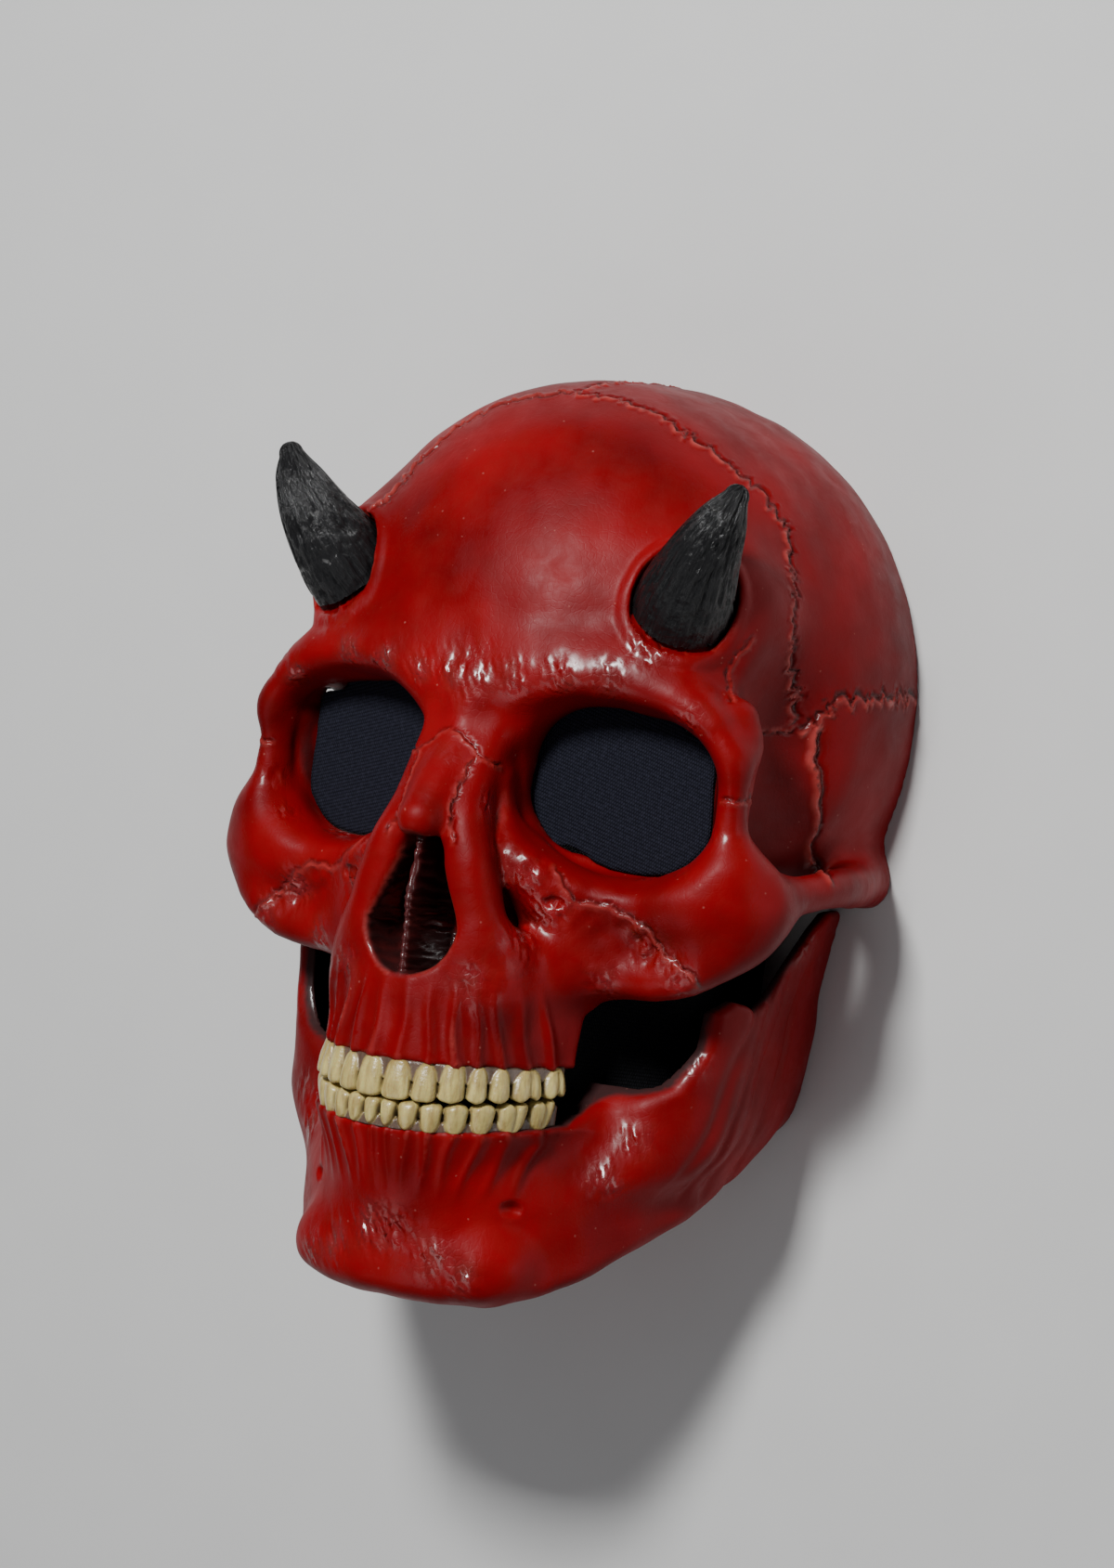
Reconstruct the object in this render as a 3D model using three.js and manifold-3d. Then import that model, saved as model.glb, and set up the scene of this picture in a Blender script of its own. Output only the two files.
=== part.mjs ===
// Horned skull mask: a life-size hollow face shell with a separate lower jaw, two horns,
// two rows of teeth and stretch cloth behind its openings. Millimetres.
// The mask lies on its open back rim and faces up: +Z is forwards, out of the face,
// +X is the wearer's left and +Y is the crown of the head.
// The forms are written in face coordinates, with their origin at the root of the nose,
// for the left half (x above 0), and each surface is mirrored to the right.
import * as THREE from 'three';
import { mergeVertices } from 'three/addons/utils/BufferGeometryUtils.js';
import Module from 'manifold-3d';

const wasm = await Module();
wasm.setup();

// Overall sizes
const CROWN = 97.7; // top of the braincase above the root of the nose
const CHIN = 148.6; // underside of the chin below the root of the nose
const RIM_DEPTH = 106; // back rim behind the root of the nose
const WALL = 3.2; // thickness of the cast shell
const BITE_WALL = 2; // extra thickness above and below the teeth
const BRANCH_WALL = 1.2; // extra thickness of the side branches of the jaw
const GAP = 0.4; // clearance between neighbouring pieces
const HORN_PLAY = 0.7; // clearance round the sunk end of a horn
const CLOTH = 1.0; // thickness of the stretch cloth

// Facet sizes: sampling step and number of faces for each half of a surface
const SKULL_MESH = { step: 1.45, faces: 2400, low: [0, -96, -109], high: [92, 102, 20] };
const JAW_MESH = { step: 1.5, faces: 850, low: [0, -154, -109], high: [76, -30, 14] };
const UPPER_TEETH_MESH = { step: 0.9, faces: 400, low: [0, -101, -26], high: [38, -83, 14] };
const LOWER_TEETH_MESH = { step: 0.9, faces: 380, low: [0, -107, -26], high: [38, -89, 14] };
const HIDDEN_WEIGHT = 0.12; // how much the inner side of a wall counts when faces are saved
const EVENNESS = 0.002; // how much short edges are favoured when faces are saved
const MAX_TRIES = 5; // how often an edge that can't go yet is tried again

// Skull forms. Limbs are lists of x, y, z, radius; ellipsoids are centre, radii, turn in degrees.
const BRAINCASE = { at: [0, 13, -92], radii: [80, 84.5, 84] };
const FOREHEAD = { at: [0, 29, -54], radii: [61, 61.5, 47], blend: 15 };
const HORN_BOSS = { at: [49, 33, -36], radii: [16, 17, 16], blend: 16 };
const TEMPLE = { at: [92, -6, -45], radii: [32, 44, 24], blend: 9 };
const MIDFACE = { at: [0, -26, -78], radii: [61, 46, 54], blend: 10 };
const CHEEKBONE = { at: [66, -39, -31], radii: [17.5, 15, 12], turn: [24, 0, 0], blend: 8 };
const CHEEK_FILL = { at: [44, -48, -34], radii: [26, 15, 12], turn: [15, 0, 0], blend: 6 };
const BROW = {
  path: [[0, 9, -15, 8.5], [17, 12, -13.5, 9], [38, 14, -17, 8.5], [57, 8, -20.5, 7.5], [66, -3, -23.5, 6]],
  blend: 10,
};
const ORBIT_PILLAR = {
  path: [[66, -2, -24, 5.5], [67, -14, -25.5, 5], [67.5, -28, -28, 6.5]],
  blend: 5,
};
const ORBIT_WALL = {
  path: [[65, 9, -27.5, 6.5], [66, 2, -29.5, 6], [63, -6, -34, 5.8], [62, -16, -36, 5.6], [63, -27, -38, 5.8],
    [66, -35, -42, 6.5]],
  blend: 4,
};
const ORBIT_SILL = {
  path: [[68.5, -30, -28, 7], [58, -39.5, -26, 7.5], [44, -42, -23.5, 7], [30, -39, -18, 6.5],
    [20, -29, -13, 7], [14, -15, -10.5, 6.5]],
  blend: 5,
};
const CHEEK_EDGE = {
  path: [[30, -61, -26, 6], [42, -60, -26, 5.5], [58, -58, -27, 5.5], [67.5, -52, -30, 5.5],
    [74, -41, -41, 5]],
  blend: 7,
};
const CHEEK_ARCH = {
  path: [[73, -36, -38, 6.5], [77.5, -33.5, -50, 5], [79.5, -31, -64, 4.8], [78, -29.5, -80, 5.5],
    [73, -28, -94, 7], [69, -27, -106, 9]],
  blend: 7,
};
const NOSE_BRIDGE = {
  path: [[0, 6, -11, 9], [0, -6, -7.5, 8], [0, -18, 1.5, 7], [0, -27, 10, 5.5]],
  blend: 6,
};
const NOSE_SIDE = {
  path: [[8, -4, -10, 5.5], [9, -18, -2, 6], [10.5, -32, 2, 6.5], [14, -47, 0.5, 7], [17.5, -60, -3.5, 8],
    [18, -68, -6, 9]],
  blend: 5,
};
const CHEEK_WALL = { path: [[18, -34, -14, 8], [26, -46, -20, 9], [32, -56, -24, 9]], blend: 8 };

// Upper jaw: an elliptical arch in plan
const ARCH_CENTRE = -33.4; // z of the centre of the tooth arch
const UPPER_ARCH = { wide: 34.8, deep: 43.5, top: -54, blend: 7 };
const LOWER_ARCH = { wide: 35.4, deep: 43.5 };

// Eye sockets: a rounded slot, tilted outwards, that narrows towards the cloth
const SOCKET = { at: [39.2, -13, -18], turn: [11, 4, -7], wide: 26, high: 20.4, power: 2.6 };
const SOCKET_TAPER = 0.007;
const SOCKET_DEPTH = 8.5; // the back of the socket wall, behind the middle of the rim
const SOCKET_ROUND = 6;
const SOCKET_SIDE = 2.2; // extra wall between a socket and the temple

// Nose opening: pear shaped, with a thin partition
const NOSE_HOLE = { top: [-37.5, 5.5], foot: [-53.5, 12.8], floor: -13, round: 6 };
const PARTITION = { half: 1.1, middle: -48, reach: 20, front: 9, back: -18 };

// Hollow of the cheek arch: the arch itself, moved inwards and up
const ARCH_HOLLOW = {
  path: [[70, -33, -44, 6.5], [73, -29, -58, 5], [71, -25, -74, 5.5], [65, -22, -92, 8], [62, -21, -106, 9]],
  blend: 8,
};

// Horns: one curved limb, seated in a socket with a raised lip
const HORN = [[44, 27, -28, 12.8], [50.5, 37, -19.5, 12.4], [57, 47, -13, 9.6], [62.5, 56.5, -10, 6.4],
  [65.5, 62.5, -9.5, 3.2]];
const HORN_SEAT = 16.5; // from the start of the limb to the skin of the forehead
const HORN_SUNK = 7.8; // how far the horn goes into its socket
const HORN_SIDES = 18;
const HORN_STEPS = 3; // rings between two points of the path
const HORN_GROOVE = 0.35; // depth of the lengthwise grooves
const LIP = { out: 1.8, half: 1.3, high: 0.9 };

// Side outlines, as z, y: what lies inside them is kept
const SKULL_OUTLINE = [[-130, -34.2], [-85, -35.4], [-62, -40.5], [-45, -47.5], [-36, -59], [-31, -69],
  [-27.5, -71], [-26.5, -84.7], [40, -90.6], [40, 130], [-130, 130]];
const JAW_OUTLINE = [[40, -109.1], [-25, -99.2], [-28.6, -97], [-35.2, -92.5], [-41, -86], [-45, -76],
  [-45, -66], [-49, -62.5], [-54, -63], [-58, -64.5], [-67, -61], [-80, -50.5], [-91, -41.8], [-98, -37.2],
  [-106, -36.4], [-130, -37], [-130, -180], [40, -180]];
const JAW_UNDERSIDE = [[-112, -96], [-100, -99.5], [-85, -108], [-62, -120.5], [-45, -131], [-30, -141],
  [-16, -148], [5, -150]];

// Jaw body and branch
const JAW_BODY = { wide: 64, deep: 100.5, centre: -104, spread: 3, taper: 0.16, shelf: -120, rise: 0.52 };
const BRANCH = { wide: 65.5, level: -88, flare: 0.1, front: -36, round: 22 };
const CHIN_BOSS = { at: [0, -138, -17], radii: [26, 13, 15], blend: 9 };
const CHIN_CORNER = { at: [20.5, -137.5, -17], radii: [12, 9.5, 10], blend: 6 };

// Teeth from the middle outwards: width and height
const UPPER_TEETH = [[8.3, 9.8], [7.1, 9.1], [7.4, 10.4], [5.9, 8.8], [6.4, 8.2], [10, 7.4], [8.4, 6.9]];
const LOWER_TEETH = [[5, 6.4], [6, 6.8], [6.3, 7.6], [6.9, 7.6], [7.3, 7.6], [9.6, 7.5], [8.9, 7.3]];
const TOOTH_DEPTH = 2.6;
const UPPER_BITE = { wide: 36, deep: 45, gum: -88.1, gumSlope: -0.09, edge: -97.4 };
const LOWER_BITE = { wide: 35.4, deep: 44.2, gum: -104.8, gumSlope: -0.152, edge: -98.3 };
const EDGE_SLOPE = -0.17;
const BITE_FRONT = 11.6; // z of the front of the bite
const BITE_END = -23; // z of the back of the last tooth

// Jaw cloth: route of the left half in plan, as x, z, with its top and bottom edge
const BAND = [[0, -3, -76, -114], [12, -6, -76, -114], [20.5, -15, -74, -113], [24.5, -28, -68, -112],
  [27, -41, -60, -109], [36, -50, -54, -104], [44, -59, -51, -100], [48, -70, -50, -96],
  [49, -82, -49, -92], [47.5, -100, -47, -85]];
const BAND_STEPS = 2;

// Eye cloths: how far they reach past the opening, and how far behind the socket wall they lie
const PATCH = { over: 3, behind: 1, sides: 36, wallClear: 0.7 };

const rad = THREE.MathUtils.degToRad;
const clamp = THREE.MathUtils.clamp;

function smoothMin(a, b, k) {
  const h = clamp(0.5 + (0.5 * (b - a)) / k, 0, 1);
  return b + (a - b) * h - k * h * (1 - h);
}

const smoothMax = (a, b, k) => -smoothMin(-a, -b, k);

// Columns of a turn given as yaw, pitch and roll
function axesOf([yaw, pitch, roll]) {
  const turn = new THREE.Euler(rad(pitch), rad(yaw), rad(roll), 'YXZ');
  return new THREE.Matrix4().makeRotationFromEuler(turn).elements;
}

// Coordinates of a point along the axes of a turned frame
function localFrame(at, turn = [0, 0, 0]) {
  const m = axesOf(turn);
  return (x, y, z) => {
    const [dx, dy, dz] = [x - at[0], y - at[1], z - at[2]];
    return [0, 4, 8].map((i) => m[i] * dx + m[i + 1] * dy + m[i + 2] * dz);
  };
}

function ellipsoid({ at, radii, turn = [0, 0, 0] }) {
  const m = axesOf(turn);
  const [a, b, c] = radii;
  return (x, y, z) => {
    const [dx, dy, dz] = [x - at[0], y - at[1], z - at[2]];
    const u = (m[0] * dx + m[1] * dy + m[2] * dz) / a;
    const v = (m[4] * dx + m[5] * dy + m[6] * dz) / b;
    const w = (m[8] * dx + m[9] * dy + m[10] * dz) / c;
    const reach = Math.hypot(u, v, w);
    return (reach * (reach - 1)) / (Math.hypot(u / a, v / b, w / c) + 1e-9);
  };
}

// Smooth path through points of any number of values, a few steps to each span
function smoothPath(points, steps) {
  const first = points[0].map((v, i) => 2 * v - points[1][i]);
  const last = points.at(-1).map((v, i) => 2 * v - points.at(-2)[i]);
  const knots = [first, ...points, last];
  const path = [];
  for (let k = 1; k < knots.length - 2; k += 1) {
    const [p, q, r, s] = knots.slice(k - 1, k + 3);
    for (let step = 0; step < steps; step += 1) {
      const t = step / steps;
      path.push(q.map((v, i) => v + 0.5 * t * (r[i] - p[i] + t * (2 * p[i] - 5 * v + 4 * r[i] - s[i]
        + t * (3 * (v - r[i]) + s[i] - p[i])))));
    }
  }
  path.push(points.at(-1));
  return path;
}

// Limb: round sections that follow a smooth path
function limb(points, steps = 3) {
  const path = smoothPath(points, steps);
  const spans = path.slice(1).map((end, i) => {
    const start = path[i];
    const along = end.map((v, k) => v - start[k]);
    return { start, along, square: along[0] ** 2 + along[1] ** 2 + along[2] ** 2 };
  });
  return (x, y, z) => {
    let best = Infinity;
    for (const { start, along, square } of spans) {
      const dx = x - start[0];
      const dy = y - start[1];
      const dz = z - start[2];
      const t = clamp((dx * along[0] + dy * along[1] + dz * along[2]) / square, 0, 1);
      const reach = Math.hypot(dx - t * along[0], dy - t * along[1], dz - t * along[2]);
      best = Math.min(best, reach - start[3] - t * along[3]);
    }
    return best;
  };
}

// Distance to an upright elliptical wall, negative inside the arch
function archDistance(x, z, wide, deep) {
  const u = x / wide;
  const w = (z - ARCH_CENTRE) / deep;
  const reach = Math.hypot(u, w);
  return (reach * (reach - 1)) / (Math.hypot(u / wide, w / deep) + 1e-9);
}

// Signed distance to a closed outline, negative inside
function outlineDistance(outline) {
  const sides = outline.map((p, i) => {
    const q = outline.at(i - 1);
    const e = [q[0] - p[0], q[1] - p[1]];
    return { p, q, e, square: e[0] ** 2 + e[1] ** 2 };
  });
  return (u, v) => {
    let nearest = Infinity;
    let sign = 1;
    for (const { p, q, e, square } of sides) {
      const [du, dv] = [u - p[0], v - p[1]];
      const t = clamp((du * e[0] + dv * e[1]) / square, 0, 1);
      nearest = Math.min(nearest, Math.hypot(du - t * e[0], dv - t * e[1]));
      const left = e[0] * dv > e[1] * du;
      const [above, below] = [v >= p[1], v < q[1]];
      if ((above && below && left) || (!above && !below && !left)) sign = -sign;
    }
    return sign * nearest;
  };
}

function valueAt(table, at) {
  const next = table.findIndex(([key]) => key > at);
  if (next === 0) return table[0][1];
  if (next < 0) return table.at(-1)[1];
  const [[k0, v0], [k1, v1]] = [table[next - 1], table[next]];
  return v0 + ((v1 - v0) * (at - k0)) / (k1 - k0);
}

// Filled head, before its sockets are cut
const fieldOf = (form) => (form.path ? limb(form.path) : ellipsoid(form));
const braincase = ellipsoid(BRAINCASE);
const temple = ellipsoid(TEMPLE);
const headForms = [
  ...[FOREHEAD, HORN_BOSS].map((form) => ({ field: fieldOf(form), blend: form.blend })),
  { field: temple, blend: TEMPLE.blend, dent: true },
  ...[MIDFACE, BROW, ORBIT_PILLAR, ORBIT_WALL, ORBIT_SILL, CHEEKBONE, CHEEK_EDGE, CHEEK_FILL, CHEEK_ARCH,
    NOSE_BRIDGE, NOSE_SIDE, CHEEK_WALL].map((form) => ({ field: fieldOf(form), blend: form.blend })),
  { field: upperJawBlock, blend: UPPER_ARCH.blend },
];

// The broad forms that the hollow follows: brow, rims and bridge stay solid
const coreForms = [
  { field: fieldOf(FOREHEAD), blend: FOREHEAD.blend },
  { field: temple, blend: TEMPLE.blend, dent: true },
  ...[MIDFACE, CHEEKBONE, CHEEK_FILL, ARCH_HOLLOW].map((form) => (
    { field: fieldOf(form), blend: form.blend })),
  { field: upperJawBlock, blend: UPPER_ARCH.blend },
];

function upperJawBlock(x, y, z) {
  const drop = -70 - y;
  const wall = archDistance(x, z, UPPER_ARCH.wide + 0.03 * drop, UPPER_ARCH.deep + 0.05 * drop);
  const trimmed = smoothMax(smoothMax(wall, -(y + 100), 2), y - UPPER_ARCH.top, 7);
  return smoothMax(trimmed, -(z + 60), 3);
}

function joinForms(forms, x, y, z) {
  let d = braincase(x, y, z);
  for (const { field, blend, dent } of forms) {
    const form = field(x, y, z);
    d = dent ? smoothMax(d, -form, blend) : smoothMin(d, form, blend);
  }
  return d;
}

const filledHead = (x, y, z) => joinForms(headForms, x, y, z);

const socketFrame = localFrame(SOCKET.at, SOCKET.turn);

function socketDistance([u, v, depth]) {
  const grow = 1 + SOCKET_TAPER * depth;
  const across = Math.abs(u / (SOCKET.wide * grow)) ** SOCKET.power;
  const upright = Math.abs(v / (SOCKET.high * grow)) ** SOCKET.power;
  return ((across + upright) ** (1 / SOCKET.power) - 1) * SOCKET.high * grow;
}

function noseDistance(x, y, z) {
  const [[top, topRadius], [foot, footRadius]] = [NOSE_HOLE.top, NOSE_HOLE.foot];
  const t = clamp((y - top) / (foot - top), 0, 1);
  const pear = Math.hypot(x, y - top - t * (foot - top)) - topRadius - t * (footRadius - topRadius);
  return smoothMax(pear, NOSE_HOLE.floor - z + 0.25 * x, NOSE_HOLE.round);
}

function partitionDistance(x, y, z) {
  const off = Math.abs(y - PARTITION.middle);
  const plate = smoothMax(x - PARTITION.half, off - PARTITION.reach, 2);
  return smoothMax(smoothMax(plate, z - PARTITION.front + 0.11 * off, 2), PARTITION.back - z, 1);
}

const hornLimb = limb(HORN, 4);
const hornAxis = new THREE.Vector3(...HORN[1]).sub(new THREE.Vector3(...HORN[0])).normalize();
const hornSeat = new THREE.Vector3(...HORN[0]).addScaledVector(hornAxis, HORN_SEAT);
const aboveSeat = (x, y, z) => (
  hornAxis.x * (x - hornSeat.x) + hornAxis.y * (y - hornSeat.y) + hornAxis.z * (z - hornSeat.z));

// Head with sockets, nose opening, horn lips and horn sockets
function carvedHead(filled, socket, x, y, z) {
  const kept = WALL + SOCKET_SIDE - temple(x, y, z);
  let d = smoothMax(filled, -smoothMax(socketDistance(socket), kept, 3), SOCKET_ROUND);
  d = smoothMax(d, -noseDistance(x, y, z), 2);
  d = smoothMin(d, partitionDistance(x, y, z), 1.5);
  const horn = hornLimb(x, y, z);
  const lip = smoothMax(Math.abs(horn - LIP.out) - LIP.half, d - LIP.high, 1.6);
  const hole = smoothMax(horn - HORN_PLAY, -(aboveSeat(x, y, z) + HORN_SUNK + HORN_PLAY), 0.5);
  return smoothMax(smoothMin(d, lip, 2.2), -hole, 1);
}

const insideSkullOutline = outlineDistance(SKULL_OUTLINE);

function skullShell(x, y, z) {
  const filled = filledHead(x, y, z);
  const socket = socketFrame(x, y, z);
  const carved = carvedHead(filled, socket, x, y, z);
  const extra = z > -40 ? BITE_WALL * clamp((-66 - y) / 10, 0, 1) : 0;
  const wall = WALL + extra;
  const nearSocket = Math.max(socket[2] + SOCKET_DEPTH, socketDistance(socket) - WALL - 2);
  let hollow = Math.min(carved + wall, smoothMax(filled + wall, nearSocket, 1));
  if (hollow < WALL) hollow = Math.max(hollow, joinForms(coreForms, x, y, z) + wall);
  return smoothMax(smoothMax(carved, -hollow, 1), insideSkullOutline(z, y), 1.6);
}

// Filled lower jaw: body, side branches, tooth arch and chin
const chinBoss = ellipsoid(CHIN_BOSS);
const chinCorner = ellipsoid(CHIN_CORNER);

function jawBody(x, y, z) {
  const narrow = JAW_BODY.taper * Math.max(0, -60 - z);
  const wide = JAW_BODY.wide + JAW_BODY.spread * clamp((y + 110) / 40, -0.6, 1) - narrow;
  const ahead = Math.max(z - JAW_BODY.centre, 0) / JAW_BODY.deep;
  const side = (Math.hypot(x / wide, ahead) - 1) * 60;
  return smoothMax(side, y - JAW_BODY.shelf + JAW_BODY.rise * Math.min(z, 0), 12);
}

function jawBranch(x, y, z) {
  const narrow = Math.max(0, -60 - z) * (0.12 + 0.0009 * (-36 - y));
  const wide = BRANCH.wide + (y - BRANCH.level) * BRANCH.flare - narrow;
  const across = x - (wide - BRANCH.round);
  const ahead = z - (BRANCH.front - BRANCH.round);
  const outside = Math.hypot(Math.max(across, 0), Math.max(ahead, 0));
  const block = outside + Math.min(Math.max(across, ahead), 0) - BRANCH.round;
  return smoothMax(block, -(y + 112) - 0.35 * (z + 40), 10);
}

function jawArchWall(x, y, z) {
  const lean = 0.42 * clamp(-104 - y, -4, 40);
  return archDistance(x, z, LOWER_ARCH.wide, LOWER_ARCH.deep) + lean;
}

function jawArch(x, y, z) {
  const trimmed = smoothMax(smoothMax(jawArchWall(x, y, z), -(y + 128), 6), y + 90, 3);
  return smoothMax(trimmed, -(z + 40), 8);
}

function filledJaw(x, y, z) {
  let d = smoothMin(jawBody(x, y, z), jawBranch(x, y, z), 10);
  d = smoothMin(d, jawArch(x, y, z), 9);
  d = smoothMin(d, chinBoss(x, y, z), CHIN_BOSS.blend);
  d = smoothMin(d, chinCorner(x, y, z), CHIN_CORNER.blend);
  return smoothMax(d, (valueAt(JAW_UNDERSIDE, z) - y) * 0.85, 6);
}

const insideJawOutline = outlineDistance(JAW_OUTLINE);

function jawShell(x, y, z) {
  const filled = filledJaw(x, y, z);
  const branch = BRANCH_WALL * clamp((-30 - z) / 10, 0, 1);
  const bite = z > -30 ? BITE_WALL * clamp((y + 116) / 6, 0, 1) : 0;
  const behindTeeth = Math.max(jawArchWall(x, y, z) + WALL + BITE_WALL, z + 33, -(y + 114));
  const hollow = Math.min(filled + WALL + branch + bite, behindTeeth);
  return smoothMax(smoothMax(filled, -hollow, 1), insideJawOutline(z, y), 2);
}

// Places of the teeth: each centre lies on the arch, at its distance along it from the middle
function toothPlaces(teeth, bite) {
  const places = [];
  let angle = 0;
  const turnStep = 0.0005;
  const advance = (distance) => {
    let left = distance;
    while (left > 0) {
      left -= Math.hypot(bite.wide * Math.cos(angle), bite.deep * Math.sin(angle)) * turnStep;
      angle += turnStep;
    }
  };
  for (const [width, height] of teeth) {
    advance(width / 2);
    const normal = new THREE.Vector2(Math.sin(angle) / bite.wide, Math.cos(angle) / bite.deep).normalize();
    const centre = new THREE.Vector2(bite.wide * Math.sin(angle), ARCH_CENTRE + bite.deep * Math.cos(angle));
    places.push({ width, height, normal, centre: centre.addScaledVector(normal, -TOOTH_DEPTH) });
    advance(width / 2);
  }
  return places;
}

// One row of crowns on its gum strip; side is 1 for teeth that hang and -1 for teeth that stand
function toothRow(teeth, bite, side) {
  const places = toothPlaces(teeth, bite);
  return (x, y, z) => {
    const back = z - BITE_FRONT;
    const edge = bite.edge + EDGE_SLOPE * back;
    const gum = bite.gum + bite.gumSlope * back - side * GAP;
    let d = Infinity;
    for (const { width, height, normal, centre } of places) {
      const dx = x - centre.x;
      const dz = z - centre.y;
      const upright = (side * (y - edge) - height / 2 + 0.3);
      const neck = 1 + 0.14 * clamp(upright / (height / 2), -0.6, 1);
      const u = Math.abs(dx * normal.y - dz * normal.x) * neck - (width / 2 - 1.45);
      const v = Math.abs(upright) - (height / 2 - 1.3);
      const w = Math.abs(dx * normal.x + dz * normal.y + 0.12 * upright) - (TOOTH_DEPTH - 1.2);
      const outside = Math.hypot(Math.max(u, 0), Math.max(v, 0), Math.max(w, 0));
      d = Math.min(d, outside + Math.min(Math.max(u, v, w), 0) - 1.2);
    }
    const outer = archDistance(x, z, bite.wide - 1.7, bite.deep - 1.7);
    const inner = archDistance(x, z, bite.wide - 5.2, bite.deep - 5.2);
    const low = side * (edge - y) + 2.4;
    const strip = smoothMax(smoothMax(outer, -inner, 0.6), low, 1);
    const joined = smoothMin(d, strip, 0.8);
    return smoothMax(smoothMax(joined, side * (y - gum), 0.5), BITE_END - z, 0.5);
  };
}

// Samples a field on a grid from the middle plane outwards. Blocks far from the skin are skipped.
function sampleField(field, low, high, step) {
  const counts = low.map((v, i) => Math.ceil((high[i] - v) / step) + 1);
  const [nx, ny, nz] = counts;
  const values = new Float32Array(nx * ny * nz);
  const block = 6;
  const reach = block * step * 1.8;
  const at = (i, axis) => low[axis] + i * step;
  for (let bi = 0; bi < nx; bi += block) {
    for (let bj = 0; bj < ny; bj += block) {
      for (let bk = 0; bk < nz; bk += block) {
        const half = (block - 1) / 2;
        const middle = field(at(bi + half, 0), at(bj + half, 1), at(bk + half, 2));
        for (let i = bi; i < Math.min(bi + block, nx); i += 1) {
          for (let j = bj; j < Math.min(bj + block, ny); j += 1) {
            for (let k = bk; k < Math.min(bk + block, nz); k += 1) {
              const near = Math.abs(middle) < reach;
              values[(i * ny + j) * nz + k] = near ? field(at(i, 0), at(j, 1), at(k, 2)) : middle;
            }
          }
        }
      }
    }
  }
  return { values, counts, low, step };
}

// Skin of a sampled field. Each grid cell is six tetrahedra, crossed by at most two triangles each.
// The even orders of the axes give right-handed tetrahedra, the odd ones left-handed.
const AXIS_ORDERS = [[0, 1, 2], [1, 2, 0], [2, 0, 1], [0, 2, 1], [2, 1, 0], [1, 0, 2]];

function skinOf({ values, counts, low, step }) {
  const strides = [counts[1] * counts[2], counts[2], 1];
  const points = [];
  const faces = [];
  const crossings = new Map();
  const place = (node) => [
    Math.floor(node / strides[0]),
    Math.floor(node / strides[1]) % counts[1],
    node % counts[2],
  ].map((v, i) => low[i] + v * step);
  const crossing = (inner, outer) => {
    const [p, q] = [Math.min(inner, outer), Math.max(inner, outer)];
    const key = p * values.length + q;
    if (!crossings.has(key)) {
      const t = clamp(values[p] / (values[p] - values[q]), 0.06, 0.94);
      const [from, to] = [place(p), place(q)];
      crossings.set(key, points.push(from.map((v, i) => v + t * (to[i] - v))) - 1);
    }
    return crossings.get(key);
  };
  const crossTetrahedron = (nodes, leftHanded) => {
    const order = [...nodes].sort((a, b) => (values[a] < 0 ? 0 : 1) - (values[b] < 0 ? 0 : 1));
    const inside = order.filter((node) => values[node] < 0);
    const outside = order.slice(inside.length);
    if (!inside.length || !outside.length) return;
    let swapped = leftHanded;
    order.forEach((node, i) => order.slice(i + 1).forEach((other) => {
      if (nodes.indexOf(node) > nodes.indexOf(other)) swapped = !swapped;
    }));
    const add = (a, b, c) => faces.push(swapped ? [a, c, b] : [a, b, c]);
    if (inside.length === 2) {
      const [a, b] = outside.map((node) => crossing(inside[0], node));
      const [c, d] = outside.map((node) => crossing(inside[1], node));
      add(a, b, d);
      add(a, d, c);
    } else {
      const ring = inside.flatMap((node) => outside.map((other) => crossing(node, other)));
      add(...ring);
    }
  };
  const cellCorners = [0, 1, 2, 3, 4, 5, 6, 7].map((corner) => (
    strides.reduce((sum, stride, axis) => sum + ((corner >> axis) & 1) * stride, 0)));
  for (let i = 0; i < counts[0] - 1; i += 1) {
    for (let j = 0; j < counts[1] - 1; j += 1) {
      for (let k = 0; k < counts[2] - 1; k += 1) {
        const node = i * strides[0] + j * strides[1] + k;
        const full = cellCorners.filter((corner) => values[node + corner] < 0).length;
        if (full === 0 || full === cellCorners.length) continue;
        AXIS_ORDERS.forEach(([first, second], n) => {
          const one = node + strides[first];
          const two = one + strides[second];
          crossTetrahedron([node, one, two, node + cellCorners[7]], n > 2);
        });
      }
    }
  }
  return { points, faces };
}

// Queue that always hands out its cheapest entry
class CheapestFirst {
  entries = [];

  push(entry) {
    const { entries } = this;
    let at = entries.push(entry) - 1;
    while (at > 0) {
      const parent = (at - 1) >> 1;
      if (entries[parent].cost <= entry.cost) break;
      entries[at] = entries[parent];
      at = parent;
    }
    entries[at] = entry;
  }

  pop() {
    const { entries } = this;
    const top = entries[0];
    const entry = entries.pop();
    if (!entries.length) return top;
    let at = 0;
    for (;;) {
      let child = 2 * at + 1;
      if (child >= entries.length) break;
      if (child + 1 < entries.length && entries[child + 1].cost < entries[child].cost) child += 1;
      if (entries[child].cost >= entry.cost) break;
      entries[at] = entries[child];
      at = child;
    }
    entries[at] = entry;
    return top;
  }
}

const minus = (p, q) => [p[0] - q[0], p[1] - q[1], p[2] - q[2]];
const dot = (p, q) => p[0] * q[0] + p[1] * q[1] + p[2] * q[2];
const cross = (p, q) => [
  p[1] * q[2] - p[2] * q[1],
  p[2] * q[0] - p[0] * q[2],
  p[0] * q[1] - p[1] * q[0],
];

// Sum of squared distances to planes, kept as ten numbers
function planeError([a, b, c], d, weight) {
  return [a * a, a * b, a * c, a * d, b * b, b * c, b * d, c * c, c * d, d * d].map((v) => v * weight);
}

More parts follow.
